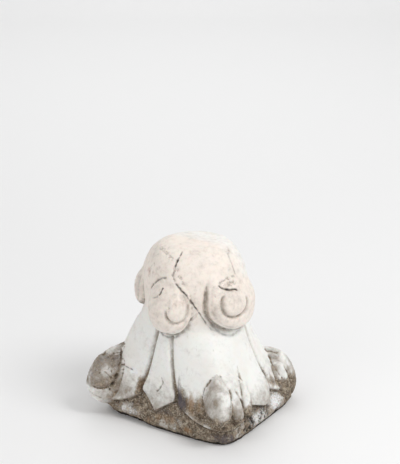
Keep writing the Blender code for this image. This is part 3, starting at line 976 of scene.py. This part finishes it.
@dataclass(frozen=True)
class Wear:
    """What time has done: cracks, scars, drilled holes, fissures, roughness and stains."""

    noise: StoneNoise = StoneNoise(11)
    cracks: tuple[Line, ...] = (
        Line(((11.8, 0.321), (11.7, 0.315), (9.8, 0.310), (9.4, 0.306)), 0.0014, 0.0013, 0.85),
        Line(((10.2, 0.311), (9.6, 0.307), (9.3, 0.299)), 0.0022, 0.0015, 1.40),
        Line(((9.3, 0.301), (9.7, 0.293), (8.9, 0.287), (13.1, 0.276)), 0.0012, 0.0012, 0.65, 0.0012),
        Line(((12.0, 0.277), (19.0, 0.268), (25.3, 0.257), (31.2, 0.241), (38.7, 0.222)), 0.0018, 0.0014, 1.10),
        Line(((37.5, 0.225), (43.3, 0.210), (47.5, 0.199)), 0.0014, 0.0013, 0.80),
        Line(((46.5, 0.201), (51.4, 0.191), (56.6, 0.186)), 0.0009, 0.0012, 0.40),
        Line(((12.3, 0.301), (14.5, 0.290), (20.2, 0.279), (24.0, 0.272)), 0.0009, 0.0012, 0.40, 0.0016),
        Line(((58.4, 0.272), (62.0, 0.267), (65.7, 0.263), (69.7, 0.261), (75.5, 0.260), (79.5, 0.2575)), 0.0026, 0.0015, 1.20),
        Line(((58.6, 0.273), (67.5, 0.2775), (77.4, 0.281), (82.0, 0.279)), 0.0010, 0.0012, 0.50, 0.0016),
        Line(((1.6, 0.2675), (0.8, 0.261), (-0.6, 0.253)), 0.0020, 0.0015, 1.10),
        Line(((-0.6, 0.253), (-7.5, 0.246)), 0.0012, 0.0013, 0.55),
        Line(((-21.5, 0.250), (-15.7, 0.263), (-9.9, 0.273), (-3.3, 0.280), (4.1, 0.283)), 0.0018, 0.0018, 0.50),
        Line(((-9.0, 0.184), (-3.0, 0.1745), (5.0, 0.171), (13.0, 0.1735), (19.0, 0.181)), 0.0006, 0.0018, 0.70),
        Line(((50.0, 0.203), (56.0, 0.190), (63.0, 0.179), (72.0, 0.1725), (82.0, 0.1715), (94.0, 0.174)), 0.0006, 0.0024, 0.55),
        Line(((27.3, 0.205), (36.5, 0.222)), 0.0008, 0.0012, 0.40),
        Line(((30.0, 0.205), (38.7, 0.222)), 0.0006, 0.0012, 0.30),
        Line(((-45.1, 0.316), (-20.8, 0.316), (-4.6, 0.313), (4.8, 0.309)), 0.0007, 0.0012, 0.32, 0.0016),
        Line(((-29.1, 0.3145), (-11.7, 0.3155), (2.0, 0.311)), 0.0006, 0.0012, 0.28, 0.0016),
        Line(((103.3, 0.318), (88.0, 0.311), (84.1, 0.302), (83.1, 0.289), (83.0, 0.279)), 0.0008, 0.0014, 0.45),
        Line(((-39.6, 0.102), (-39.0, 0.099), (-35.5, 0.098), (-32.7, 0.097), (-29.6, 0.095)), 0.0012, 0.0013, 0.85),
        Line(((0.8, 0.101), (3.2, 0.090), (0.5, 0.078), (-3.7, 0.070)), 0.0010, 0.0013, 0.60),
        Line(((-7.1, 0.022), (-8.5, 0.011), (-9.0, 0.002)), 0.0024, 0.0014, 0.85),
        Line(((75.0, 0.070), (73.8, 0.057), (73.9, 0.043)), 0.0010, 0.0017, 0.50),
        Line(((64.9, 0.052), (68.6, 0.033)), 0.0032, 0.0022, 0.90),
        Line(((69.1, 0.025), (66.5, 0.014)), 0.0030, 0.0020, 0.80),
        Line(((62.2, 0.027), (60.8, 0.018)), 0.0028, 0.0018, 0.80),
        Line(((79.4, 0.021), (75.2, 0.013)), 0.0030, 0.0018, 0.85),
        Line(((82.8, 0.038), (79.7, 0.030)), 0.0030, 0.0020, 0.90),
        Line(((90.5, 0.026), (87.0, 0.021)), 0.0028, 0.0018, 0.80),
        Line(((96.5, 0.026), (93.0, 0.016)), 0.0030, 0.0020, 0.90),
        Line(((107.8, 0.043), (106.5, 0.039)), 0.0032, 0.0024, 1.00),
        Line(((98.0, 0.030), (97.0, 0.024)), 0.0032, 0.0024, 1.00),
    )
    # carved creases on the folded tips; a darkness here is painted shade in the crease
    creases: tuple[Line, ...] = (
        Line(((-45.9, 0.127, 0.139), (-46.4, 0.116, 0.153), (-45.0, 0.111, 0.166)), -0.0016, 0.0022),
        Line(((-45.0, 0.120, 0.146), (-42.0, 0.108, 0.150), (-39.3, 0.093, 0.154), (-38.4, 0.080, 0.156)), 0.0010, 0.0016, 0.12),
        Line(((-41.8, 0.062, 0.190), (-39.9, 0.059, 0.182), (-38.3, 0.058, 0.170), (-37.8, 0.062, 0.159)), 0.0030, 0.0020, 0.50),
        Line(((-40.3, 0.091, 0.168), (-39.2, 0.086, 0.163), (-38.4, 0.081, 0.158), (-37.9, 0.075, 0.155)), 0.0016, 0.0014, 0.42),
        Line(((-45.7, 0.128, 0.133), (-44.8, 0.114, 0.134), (-40.1, 0.105, 0.138), (-38.5, 0.092, 0.141), (-37.9, 0.081, 0.145), (-37.6, 0.067, 0.152), (-37.7, 0.056, 0.160)), 0.0016, 0.0018, 0.16),
        Line(((-45.6, 0.047, 0.195), (-41.9, 0.044, 0.189), (-39.8, 0.042, 0.180), (-38.9, 0.039, 0.172)), 0.0014, 0.0018, 0.40),
        Line(((130.5, 0.088, 0.167), (126.4, 0.076, 0.170), (125.2, 0.063, 0.175), (124.8, 0.048, 0.181)), -0.0012, 0.0020),
        Line(((130.9, 0.098, 0.136), (127.6, 0.089, 0.139), (121.9, 0.080, 0.144), (120.2, 0.072, 0.151), (119.3, 0.065, 0.156), (119.1, 0.056, 0.164)), 0.0016, 0.0018, 0.35),
        Line(((46.8, 0.114, 0.132), (43.7, 0.106, 0.133), (41.0, 0.097, 0.134), (39.7, 0.087, 0.136), (39.2, 0.075, 0.139), (39.4, 0.064, 0.144)), 0.0020, 0.0018, 0.55),
        Line(((39.4, 0.064, 0.144), (40.7, 0.058, 0.157), (41.8, 0.058, 0.172), (43.4, 0.057, 0.183)), 0.0018, 0.0018, 0.60),
        Line(((49.7, 0.119, 0.139), (50.8, 0.114, 0.148), (51.4, 0.109, 0.157), (51.4, 0.103, 0.165)), 0.0008, 0.0016, 0.20),
        Line(((56.2, 0.092, 0.163), (54.8, 0.085, 0.174), (53.2, 0.077, 0.184), (53.2, 0.062, 0.186)), 0.0016, 0.0016, 0.50),
        Line(((62.0, 0.084, 0.163), (63.1, 0.076, 0.166), (63.2, 0.067, 0.170)), 0.0012, 0.0015, 0.42),
        Line(((56.4, 0.048, 0.171), (57.1, 0.054, 0.180), (58.6, 0.058, 0.184)), 0.0014, 0.0015, 0.50),
    )
    scars: tuple[Break, ...] = (
        Break(71.0, 0.2705, 0.0210, 0.0075, 0.0022, 3.0),
        Break(-29.5, 0.0950, 0.0110, 0.0070, 0.0009, 3.0),
        Break(14.0, 0.2850, 0.0080, 0.0120, 0.0006, 2.0),
        Break(109.0, 0.0240, 0.0140, 0.0150, 0.0028, 2.0),
        Break(53.7, 0.2540, 0.0018, 0.0018, 0.0012, 2.0),
        Break(11.5, 0.2355, 0.0034, 0.0050, 0.0030, 2.0),
    )
    holes: tuple[DrilledHole, ...] = (
        DrilledHole(-47.7, 0.1170, 0.1650, 0.0045, 0.0030),
        DrilledHole(-37.8, 0.0820, 0.1460, 0.0030, 0.0080),
        DrilledHole(-37.8, 0.0780, 0.1480, 0.0030, 0.0080),
        DrilledHole(-37.6, 0.0665, 0.1530, 0.0028, 0.0080),
        DrilledHole(-37.6, 0.0630, 0.1560, 0.0028, 0.0080),
        DrilledHole(-37.6, 0.0560, 0.1590, 0.0022, 0.0045),
    )
    patches: tuple[Patch, ...] = (
        Patch(Tone.DIRT, -24.0, 0.292, 0.026, 0.014, 0.26),
        Patch(Tone.DIRT, -32.0, 0.268, 0.016, 0.016, 0.24),
        Patch(Tone.PINK, -33.0, 0.278, 0.012, 0.005, 0.60),
        Patch(Tone.PINK, -14.0, 0.282, 0.010, 0.003, 0.45),
        Patch(Tone.DIRT, 14.0, 0.284, 0.016, 0.014, 0.18),
        Patch(Tone.DIRT, 71.0, 0.270, 0.022, 0.008, 0.34),
        Patch(Tone.DIRT, 20.0, 0.246, 0.010, 0.006, 0.12),
        Patch(Tone.PINK, 19.5, 0.246, 0.011, 0.007, 0.36),
        # painted shade below the crocket at azimuth 6
        Patch(Tone.DIRT, 4.0, 0.207, 0.024, 0.014, 0.10),
        Patch(Tone.SOOT, 20.0, 0.088, 0.0040, 0.024, 0.50),
        Patch(Tone.SOOT, 23.0, 0.062, 0.0110, 0.017, 0.55),
        Patch(Tone.DIRT, 22.5, 0.070, 0.0120, 0.030, 0.50),
        Patch(Tone.DIRT, 32.0, 0.060, 0.0170, 0.020, 0.42),
        Patch(Tone.RUST, 30.5, 0.070, 0.0090, 0.022, 0.44),
        Patch(Tone.DIRT, 37.5, 0.064, 0.0100, 0.030, 0.40),
        Patch(Tone.RUST, 37.5, 0.070, 0.0060, 0.026, 0.32),
        Patch(Tone.DIRT, 104.0, 0.080, 0.0120, 0.016, 0.42),
        Patch(Tone.DIRT, 112.0, 0.062, 0.0160, 0.010, 0.40),
        Patch(Tone.SOOT, -44.5, 0.108, 0.0100, 0.010, 0.30),
        Patch(Tone.SOOT, -47.0, 0.080, 0.0160, 0.014, 0.26),
        Patch(Tone.BARE, -43.0, 0.094, 0.0120, 0.010, 0.16),
        Patch(Tone.BARE, -29.0, 0.0955, 0.0095, 0.0060, 0.50),
        Patch(Tone.BARE, 108.0, 0.026, 0.0220, 0.0170, 0.50),
        Patch(Tone.BARE, -28.0, 0.022, 0.0260, 0.0090, 0.30),
        Patch(Tone.BARE, 84.0, 0.022, 0.0330, 0.0160, 0.36),
        Patch(Tone.RUST, 28.0, 0.018, 0.0090, 0.0060, 0.50),
        Patch(Tone.RUST, 9.0, 0.026, 0.0260, 0.0090, 0.34),
        Patch(Tone.RUST, -9.0, 0.014, 0.0060, 0.0100, 0.40),
        Patch(Tone.DIRT, -22.5, 0.072, 0.0050, 0.0220, 0.45),
        Patch(Tone.RUST, -22.5, 0.070, 0.0040, 0.0200, 0.24),
        Patch(Tone.SOOT, 6.0, 0.036, 0.0240, 0.0070, 0.30),
        Patch(Tone.SOOT, 52.0, 0.012, 0.0300, 0.0120, 0.44),
        Patch(Tone.DUST, 80.0, 0.135, 0.0150, 0.0600, -0.45),
        Patch(Tone.DIRT, 80.0, 0.135, 0.0150, 0.0600, -0.35),
        Patch(Tone.DIRT, 44.0, 0.052, 0.0160, 0.0120, 0.30),
        Patch(Tone.BARE, 53.0, 0.072, 0.0070, 0.0160, 0.16),
    )

    def waver(self, place: Place) -> Array:
        """Noise that makes a crack wander."""
        return 3.0 * self.noise.layered(place.points, 0.006, 2)

    def fissures(self, place: Place) -> Array:
        """Slanting pits on one face of the slab: noise stretched along the slant, kept where it is strongest.

        Args:
            place: the vertices' places.

        Returns:
            Share of the full depth, from 0 to 1.
        """
        across = turned(place.azimuth, 80.0) * place.distance
        slanted = np.stack([across - 0.35 * place.height, 0.38 * place.height, np.zeros(len(across))], -1)
        strong = smooth_step(0.14, 0.25, self.noise.layered(slanted + 0.7, 0.0052, 2))
        zone = smooth_step(0.046, 0.036, np.abs(across)) * smooth_step(0.046, 0.036, place.height)
        return strong * zone

    def roughness(self, place: Place, tip: Array, scroll: Array, form: CarvedForm) -> Array:
        """How rough each place is, in metres of relief: most on the abacus, least on the washed leaves.

        Args:
            place: the vertices' places.
            tip: how much of each is folded tip.
            scroll: how much of each is crocket.
            form: the carved form.

        Returns:
            Height of the roughness.
        """
        slab = self.bare_slab(place, form) * (1.0 - tip)
        left = np.exp(-((turned(place.azimuth, 311.5) / 0.25) ** 2))
        return 0.00028 + 0.0016 * slab + tip * (0.0004 + 0.0006 * left) + 0.0003 * scroll

    def bare_slab(self, place: Place, form: CarvedForm) -> Array:
        """How much of each place is the slab below the leaves and darts, from 0 to 1."""
        leaf, darts = form.outlines(place.azimuth, place.height)
        covered = smooth_step(-0.003, 0.003, np.maximum(leaf, np.max(darts, axis=0)))
        return (1.0 - covered) * smooth_step(0.085, 0.060, place.height)

    def loss(self, place: Place, tip: Array, scroll: Array, form: CarvedForm) -> Array:
        """Depth of stone gone from the carved surface, worked out as layered noise, valleys, hollows and pits.

        Args:
            place: the vertices' places.
            tip: how much of each is folded tip.
            scroll: how much of each is crocket.
            form: the carved form.

        Returns:
            Depth along the normal.
        """
        rough = self.roughness(place, tip, scroll, form)
        broad = self.noise.layered(place.points, 0.022, 3)
        fine = self.noise.layered(place.points + 0.5, 0.0065, 2)
        gone = rough * (0.75 + 1.6 * broad + 0.9 * fine)
        pits = smooth_step(0.30, 0.55, self.noise.at(place.points + 0.9, 0.005))
        gone = gone + 1.4 * rough * pits * smooth_step(0.0006, 0.0014, rough)
        gone = gone + 0.0010 * self.noise.at(place.points + 0.2, 0.055) + 0.0042 * self.fissures(place)
        waver = self.waver(place)
        for line in self.cracks + self.creases:
            gone = gone + line.depth * line.closeness(place, waver)
        for scar in self.scars:
            share = scar.share(place.azimuth, place.height, place.distance)
            gone = gone + scar.depth * share * (1.0 + 1.2 * fine)
        for hole in self.holes:
            gone = gone + hole.depth * hole.share(place)
        return gone

    def darkness(self, place: Place, tip: Array, form: CarvedForm) -> Array:
        """How dark each place is painted: cracks, and painted shade in carved creases, deep holes and fissure pits,
        with painted shadow under the leaves' and darts' lower edges, along the foot and under broken edges.

        Args:
            place: the vertices' places.
            tip: how much of each is folded tip.
            form: the carved form.

        Returns:
            Darkness from 0 to 1.
        """
        waver = self.waver(place)
        patchy = 0.75 + 0.6 * self.noise.at(place.points + 0.3, 0.007)
        # fissure pits painted near black as the shade inside them
        dark = 0.95 * self.fissures(place)
        # cracks dark with dirt; carved creases dark as painted shade
        for line in self.cracks + self.creases:
            dark = np.maximum(dark, line.darkness * patchy * line.closeness(place, waver))
        # deep drilled holes painted dark as the shade inside them
        for hole in self.holes:
            dark = np.maximum(dark, hole.share(place) * smooth_step(0.0030, 0.0045, hole.depth))
        leaf, darts = form.outlines(place.azimuth, place.height)
        # painted shadow line under the lower edges of the leaves and darts, where they stand over the slab
        edge = np.exp(-(((np.maximum(leaf, np.max(darts, axis=0)) + 0.0015) / 0.0016) ** 2))
        dark = np.maximum(dark, 0.62 * patchy * edge * smooth_step(0.078, 0.066, place.height) * (1.0 - tip))
        # painted shadow along the foot, and under the edges broken away from the slab
        under = smooth_step(0.0060, 0.0020, place.height)
        for lost in form.breaks:
            gone = lost.share(place.azimuth, place.height, place.distance)
            under = np.maximum(under, smooth_step(0.25, 0.75, gone))
        return np.clip(np.maximum(dark, 0.95 * under), 0.0, 1.0)

    def paint(self, place: Place, tip: Array, scroll: Array, hollow: Array, form: CarvedForm) -> dict[str, Array]:
        """Amounts of each colour on the stone.

        Dirt fills the slab, the lower parts of the folded tips and the leaves' rolled edges. Painted shade darkens
        every hollow and groove through the dust and dirt, and the left side; a painted shadow runs along the foot,
        and the lit right face of the slab is painted lighter.

        Args:
            place: the vertices' places.
            tip: how much of each is folded tip.
            scroll: how much of each is crocket.
            hollow: how hollow or grooved the surface is at each vertex, from 0 to 1, painted as shade along with dust
                and dirt.
            form: the carved form.

        Returns:
            Vertex attribute names and their values.
        """
        azimuth, height = place.azimuth, place.height
        leaf, _ = form.outlines(azimuth, height)
        slab = self.bare_slab(place, form) * (1.0 - tip)
        lower = smooth_step(0.115, 0.040, height)
        # left side: more dust and dirt, and painted shade for the side away from the key light
        left = np.exp(-((turned(azimuth, 300.0) / 0.75) ** 2))
        # right side: less dirt on the slab and less dust on the tips; the slab face is painted lighter where the key
        # light falls on it
        right = np.exp(-((turned(azimuth, 94.0) / 0.48) ** 2))
        behind = smooth_step(1.9, 2.4, np.abs(turned(azimuth, 20.0)))
        leaf_part = (1.0 - slab) * (1.0 - tip)
        edge = leaf_part * smooth_step(0.024, 0.004, leaf) * lower
        amounts = {tone: np.zeros(len(height)) for tone in Tone}
        uneven = self.noise.layered(place.points + 0.4, 0.030, 3)
        by_front = np.exp(-((turned(azimuth, 55.0) / 0.30) ** 4))
        valley = leaf_part * lower * np.exp(-(((leaf - 0.018) / 0.006) ** 2))
        # beneath: the leaf just below the folded tip at the front corner, painted darker
        beneath = leaf_part * smooth_step(0.32, 0.18, np.abs(turned(azimuth, 59.0))) * smooth_step(0.026, 0.018, leaf)
        crest = leaf_part * lower * np.exp(-(((leaf - 0.0075) / 0.0035) ** 2)) * (1.0 - beneath)
        by_left = np.exp(-((turned(azimuth, 311.5) / 0.30) ** 4))
        roll_left = by_left * smooth_step(0.062, 0.056, height)
        amounts[Tone.DUST] = (
            leaf_part * lower * (0.52 + 0.12 * left + 0.15 * behind)
            + tip * (0.48 + 0.16 * left - 0.10 * right + 0.1 * behind + 0.25 * smooth_step(0.065, 0.040, height))
            - 0.34 * tip * roll_left
            - 0.20 * crest
            + 0.55 * slab
            + 0.09 * scroll
            + 0.09 * smooth_step(0.170, 0.235, height)
            + (0.18 + 0.42 * tip) * uneven
            # painted shade in hollows and grooves, greyed as dust
            + hollow * (0.55 + 0.25 * smooth_step(0.180, 0.080, height))
        )
        foot = smooth_step(0.068, 0.046, height) * (1.0 - by_left)
        amounts[Tone.DIRT] = (
            slab * (0.86 - 0.50 * right - 0.06 * np.exp(-((turned(azimuth, 335.0) / 0.25) ** 2)))
            + tip * (0.14 + 0.72 * foot + 0.18 * left + 0.2 * behind)
            - 0.22 * tip * roll_left
            + edge * (0.16 + 0.25 * left)
            + (0.26 + 0.26 * by_front) * valley
            + 0.25 * by_front * leaf_part * smooth_step(0.022, 0.012, leaf)
            + 0.65 * beneath
            # painted shade in hollows and grooves, darkened as dirt
            + hollow * (0.34 + 0.30 * smooth_step(0.150, 0.070, height))
            # painted shadow along the foot of the slab
            + 0.9 * smooth_step(0.009, 0.002, height)
            + (1.15 * slab + 0.45 * tip) * uneven
        )
        for patch in self.patches:
            amounts[patch.tone] = amounts[patch.tone] + patch.share(place)
        painted = {tone.value: amount for tone, amount in amounts.items()}
        # cracks, with painted shade and shadow
        painted["crack_and_shadow"] = self.darkness(place, tip, form)
        block = smooth_step(0.170, 0.235, height) * (1.0 - 0.7 * smooth_step(1.3, 2.0, np.abs(azimuth)))
        painted["warmth"] = np.clip(block + 0.6 * scroll, 0.0, 1.0)
        return painted


@dataclass
class Capital:
    """The whole capital, cut from one stone.

    It is carved on a grid of azimuths and heights, evened out, worn, thinned where it is smooth, and painted.
    """

    form: CarvedForm = CarvedForm()
    wear: Wear = Wear()
    finish: WeatheredMarble = WeatheredMarble()
    around: int = 800
    upwards: int = 460
    voxel: float = 0.0013
    most_triangles: int = 194000
    rim_wear: float = 0.0013
    rim_half_width: float = 0.010
    hollow_steps: int = 16
    hollow_depths: tuple[float, float] = (0.00012, 0.0011)
    kept_darkness: float = 0.06

    def rings(self) -> Array:
        """The carved surface as a grid: rows of points round the axis, one row for each height."""
        heights = np.linspace(0.0, self.form.height, self.upwards)
        azimuths = np.linspace(0.0, 2.0 * np.pi, self.around, endpoint=False)
        azimuth, height = np.meshgrid(azimuths, heights)
        radius = self.form.surface(azimuth, height)[0]
        return np.stack([np.sin(azimuth) * radius, -np.cos(azimuth) * radius, height], -1)

    def closed_mesh(self, rows: Array) -> bpy.types.Mesh:
        """A mesh with a face between each two neighbours in the grid, and a fan over each end.

        Args:
            rows: grid of points, rows upwards and columns round the axis.

        Returns:
            The mesh, closed, with its faces outward.
        """
        count, around = rows.shape[:2]
        points = np.concatenate([rows.reshape(-1, 3), rows[0].mean(0)[None], rows[-1].mean(0)[None]])
        low = np.arange((count - 1) * around)
        beside = low - low % around + (low + 1) % around
        sides = np.stack([low, beside, beside + around, low + around], -1)
        ring = np.arange(around)
        after = (ring + 1) % around
        foot, crown = count * around, count * around + 1
        top = (count - 1) * around
        foot_fan = np.stack([np.full(around, foot), after, ring], -1)
        crown_fan = np.stack([np.full(around, crown), top + ring, top + after], -1)
        corners = np.concatenate([sides.ravel(), foot_fan.ravel(), crown_fan.ravel()])
        sizes = np.concatenate([np.full(len(sides), 4), np.full(2 * around, 3)])
        mesh = bpy.data.meshes.new("crocket_capital")
        mesh.vertices.add(len(points))
        mesh.vertices.foreach_set("co", points.ravel())
        mesh.loops.add(len(corners))
        mesh.loops.foreach_set("vertex_index", corners)
        mesh.polygons.add(len(sizes))
        mesh.polygons.foreach_set("loop_start", np.concatenate([[0], np.cumsum(sizes)[:-1]]))
        mesh.update(calc_edges=True)
        return mesh

    def after(self, stone: bpy.types.Object, kind: str, settings: dict) -> None:
        """Put one modifier on the stone and keep what it makes as the stone's mesh.

        Args:
            stone: the stone's object.
            kind: kind of modifier.
            settings: its properties.
        """
        step = stone.modifiers.new(kind.lower(), kind)
        for key, value in settings.items():
            setattr(step, key, value)
        shown = stone.evaluated_get(bpy.context.evaluated_depsgraph_get())
        made = bpy.data.meshes.new_from_object(shown)
        stone.modifiers.remove(step)
        before = stone.data
        stone.data = made
        bpy.data.meshes.remove(before)

    def read(self, mesh: bpy.types.Mesh, what: str) -> Array:
        """Rows of the vertices' points or normals."""
        values = np.empty(len(mesh.vertices) * 3)
        mesh.vertices.foreach_get(what, values)
        return values.reshape(-1, 3)

    def weather(self, mesh: bpy.types.Mesh) -> None:
        """Move each vertex inward along its normal by the depth of stone lost, and soften the neck bed's rim.

        The standing face is laid flat. The rim is lowered by a bell of the distance from it.

        Args:
            mesh: the evened mesh, changed in place.
        """
        points, normals = self.read(mesh, "co"), self.read(mesh, "normal")
        place = Place.of(points)
        _, tip, scroll, _ = self.form.surface(place.azimuth, place.height)
        gone = self.wear.loss(place, tip, scroll, self.form)
        standing = (place.height < 2.0 * self.voxel) & (normals[:, 2] < -0.75)
        moved = points - normals * np.where(standing, 0.0, gone)[:, None]
        rim = self.form.neck.distances[self.form.neck.heights.index(self.form.height)]
        worn = self.rim_wear * np.exp(-(((place.distance - rim) / self.rim_half_width) ** 2))
        moved[:, 2] -= worn * smooth_step(0.300, 0.312, place.height)
        moved[standing, 2] = 0.0
        mesh.vertices.foreach_set("co", moved.ravel())
        mesh.update()

    def trim(self, mesh: bpy.types.Mesh) -> None:
        """Keep every vertex within the box of the uncarved block."""
        points = np.clip(self.read(mesh, "co"), np.array(CAD_BOX[0]), np.array(CAD_BOX[1]))
        mesh.vertices.foreach_set("co", points.ravel())
        mesh.update()

    def hollows(self, mesh: bpy.types.Mesh) -> Array:
        """How hollow the surface is: how far the mean of a vertex's neighbourhood stands out from it.

        Args:
            mesh: the evened and worn mesh.

        Returns:
            0 on open surfaces to 1 in the deepest hollows.
        """
        points, normals = self.read(mesh, "co"), self.read(mesh, "normal")
        ends = np.empty(len(mesh.edges) * 2, dtype=np.int32)
        mesh.edges.foreach_get("vertices", ends)
        one, other = ends.reshape(-1, 2).T
        count = np.bincount(one, minlength=len(points)) + np.bincount(other, minlength=len(points))
        mean = points.copy()
        for _ in range(self.hollow_steps):
            total = [
                np.bincount(one, mean[other, axis], len(points)) + np.bincount(other, mean[one, axis], len(points))
                for axis in range(3)
            ]
            mean = 0.5 * mean + 0.5 * np.stack(total, -1) / count[:, None]
        return smooth_step(*self.hollow_depths, np.einsum("ij,ij->i", mean - points, normals))

    def build(self) -> bpy.types.Object:
        """Carve, even out, wear and thin the stone, keeping the finest parts of it unthinned.

        Returns:
            The stone's object, at the origin.
        """
        stone = bpy.data.objects.new("carved_capital", self.closed_mesh(self.rings()))
        bpy.context.scene.collection.objects.link(stone)
        self.after(stone, "REMESH", {"mode": "VOXEL", "voxel_size": self.voxel, "use_smooth_shade": True})
        self.weather(stone.data)
        hollow = stone.data.attributes.new("hollow", "FLOAT", "POINT")
        hollow.data.foreach_set("value", self.hollows(stone.data).astype(np.float32))
        place = Place.of(self.read(stone.data, "co"))
        tip = self.form.surface(place.azimuth, place.height)[1]
        dark = self.wear.darkness(place, tip, self.form)
        kept = stone.vertex_groups.new(name="kept")
        kept.add(np.flatnonzero(dark > self.kept_darkness).tolist(), 1.0, "REPLACE")
        triangles = 2 * len(stone.data.polygons)
        LOG.info("evened stone: %d triangles", triangles)
        settings = {"ratio": min(1.0, self.most_triangles / triangles), "vertex_group": kept.name}
        self.after(stone, "DECIMATE", settings | {"invert_vertex_group": True, "vertex_group_factor": 1.0})
        self.trim(stone.data)
        stone.data.shade_smooth()
        return stone

    def dress(self, stone: bpy.types.Object) -> None:
        """Paint the amounts of each colour on the stone and give it its finish.

        Args:
            stone: the carved object.
        """
        mesh = stone.data
        place = Place.of(self.read(mesh, "co"))
        _, tip, scroll, groove = self.form.surface(place.azimuth, place.height)
        hollow = np.empty(len(mesh.vertices), dtype=np.float32)
        mesh.attributes["hollow"].data.foreach_get("value", hollow)
        # hollows and grooves are painted as shade in the dust and dirt
        painted = self.wear.paint(place, tip, scroll, np.maximum(hollow, groove), self.form)
        for name, amount in painted.items():
            layer = mesh.attributes.new(name, "FLOAT", "POINT")
            layer.data.foreach_set("value", amount.astype(np.float32))
        mesh.materials.clear()
        mesh.materials.append(self.finish.material())

    def stand(self) -> bpy.types.Object:
        """Build and dress the stone and stand it in the frame.

        Returns:
            The finished piece.
        """
        stone = self.build()
        self.dress(stone)
        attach(stone, "root")
        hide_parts("crocket_capital")
        return stone


# The studio


@dataclass(frozen=True)
class PaleFloor:
    """Matt white painted board, swept up behind the stone into a wall. IOR 1.45, rough, without pattern."""

    colour: str = "F0F0F0"
    roughness: float = 0.75
    near: float = 4.0
    far: float = 3.4
    sweep: float = 0.6
    wall: float = 2.6
    half_width: float = 5.0

    def profile(self) -> Array:
        """Distances back and up along the floor, round a quarter circle and up the wall."""
        turn = np.linspace(0.0, np.pi / 2.0, 24)
        bend = np.stack([self.far + self.sweep * np.sin(turn), self.sweep * (1.0 - np.cos(turn))], -1)
        return np.concatenate([[[-self.near, 0.0]], bend, [[self.far + self.sweep, self.wall]]])

    def build(self, away: Vector, across: Vector) -> bpy.types.Object:
        """Carry the profile sideways: each point is its distance back, out to a half width on either hand.

        Args:
            away: level direction from the camera to the stone.
            across: level direction to the camera's right.

        Returns:
            The floor.
        """
        profile = self.profile()
        back, side = np.array(away), np.array(across)
        line = profile[:, :1] * back + profile[:, 1:] * np.array([0.0, 0.0, 1.0])
        rows = np.stack([line - side * self.half_width, line + side * self.half_width], 1)
        first = np.arange(len(profile) - 1) * 2
        faces = np.stack([first, first + 1, first + 3, first + 2], -1)
        mesh = bpy.data.meshes.new("floor")
        mesh.from_pydata(rows.reshape(-1, 3).tolist(), [], faces.tolist())
        mesh.shade_smooth()
        floor = bpy.data.objects.new("floor", mesh)
        bpy.context.scene.collection.objects.link(floor)
        board = bpy.data.materials.new("matt white painted board")
        board.use_nodes = True
        shader = board.node_tree.nodes["Principled BSDF"]
        shader.inputs["Base Color"].default_value = linear(self.colour)
        shader.inputs["Roughness"].default_value = self.roughness
        shader.inputs["Specular IOR Level"].default_value = 0.2
        mesh.materials.append(board)
        return floor


@dataclass(frozen=True)
class SoftBox:
    """A large soft lamp: where it stands from the stone in the camera's right, up and towards it, and its power."""

    name: str
    right: float
    up: float
    toward: float
    size: float
    watts: float
    aim: tuple[float, float] = (0.15, 0.0)

    def hang(self, across: Vector, away: Vector) -> None:
        """Hang the lamp and turn it to its aim, which is stated as up and towards the camera.

        Args:
            across: level direction to the camera's right.
            away: level direction from the camera to the stone.
        """
        data = bpy.data.lights.new(self.name, "AREA")
        data.shape = "DISK"
        data.size = self.size
        data.energy = self.watts
        lamp = bpy.data.objects.new(self.name, data)
        lamp.location = across * self.right + Vector((0.0, 0.0, self.up)) - away * self.toward
        lamp.rotation_mode = "QUATERNION"
        aim = Vector((0.0, 0.0, self.aim[0])) - away * self.aim[1]
        lamp.rotation_quaternion = (lamp.location - aim).to_track_quat("Z", "Y")
        bpy.context.scene.collection.objects.link(lamp)


@dataclass(frozen=True)
class Studio:
    """A pale floor, soft light from the right and above, and the camera."""

    azimuth: float = 33.0
    elevation: float = 20.0
    eye: tuple[float, float, float] = (1.3430, -2.0480, 1.2290)
    focal_pixels: float = 1481.0
    frame_height: float = 464.0
    film: float = 36.0
    daylight: float = 0.62
    floor: PaleFloor = PaleFloor()
    lamps: tuple[SoftBox, ...] = (
        SoftBox("key", 1.4, 2.1, 0.9, 1.1, 27.0),
        SoftBox("fill", -1.6, 1.4, 1.6, 1.6, 6.5),
        SoftBox("backdrop", 0.0, 2.8, -2.2, 2.4, 26.0, (0.0, -3.6)),
    )

    def directions(self) -> tuple[Vector, Vector]:
        """Level directions across the view, to the right, and away from the camera."""
        turn = np.radians(self.azimuth)
        return Vector((np.cos(turn), np.sin(turn), 0.0)), Vector((-np.sin(turn), np.cos(turn), 0.0))

    def place_camera(self) -> None:
        """Put the camera at the eye, turned to its azimuth and elevation, without shift."""
        tilt = np.radians(self.elevation)
        right, away = self.directions()
        back = -away * float(np.cos(tilt)) + Vector((0.0, 0.0, float(np.sin(tilt))))
        up = back.cross(right)
        data = bpy.data.cameras.new("camera")
        data.sensor_width = self.film
        data.lens = self.film * self.focal_pixels / self.frame_height
        camera = bpy.data.objects.new("camera", data)
        turn = Matrix((right, up, back)).transposed().to_4x4()
        camera.matrix_world = Matrix.Translation(self.eye) @ turn
        bpy.context.scene.collection.objects.link(camera)
        bpy.context.scene.camera = camera

    def build(self) -> None:
        """Set up the floor, the light all round, the lamps and the camera."""
        across, away = self.directions()
        self.floor.build(away, across)
        world = bpy.data.worlds.new("daylight")
        world.use_nodes = True
        sky = world.node_tree.nodes["Background"]
        sky.inputs["Color"].default_value = (1.0, 1.0, 1.0, 1.0)
        sky.inputs["Strength"].default_value = self.daylight
        bpy.context.scene.world = world
        for lamp in self.lamps:
            lamp.hang(across, away)
        self.place_camera()
        bpy.context.scene.view_settings.view_transform = "Standard"


def main() -> None:
    """Build the studio and the capital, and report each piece."""
    logging.basicConfig(level=logging.INFO, format="%(message)s")
    Studio().build()
    LOG.info("studio: floor, lamps and camera")
    stone = Capital().stand()
    LOG.info("%s: %d faces", stone.name, len(stone.data.polygons))


if __name__ == "__main__":
    main()
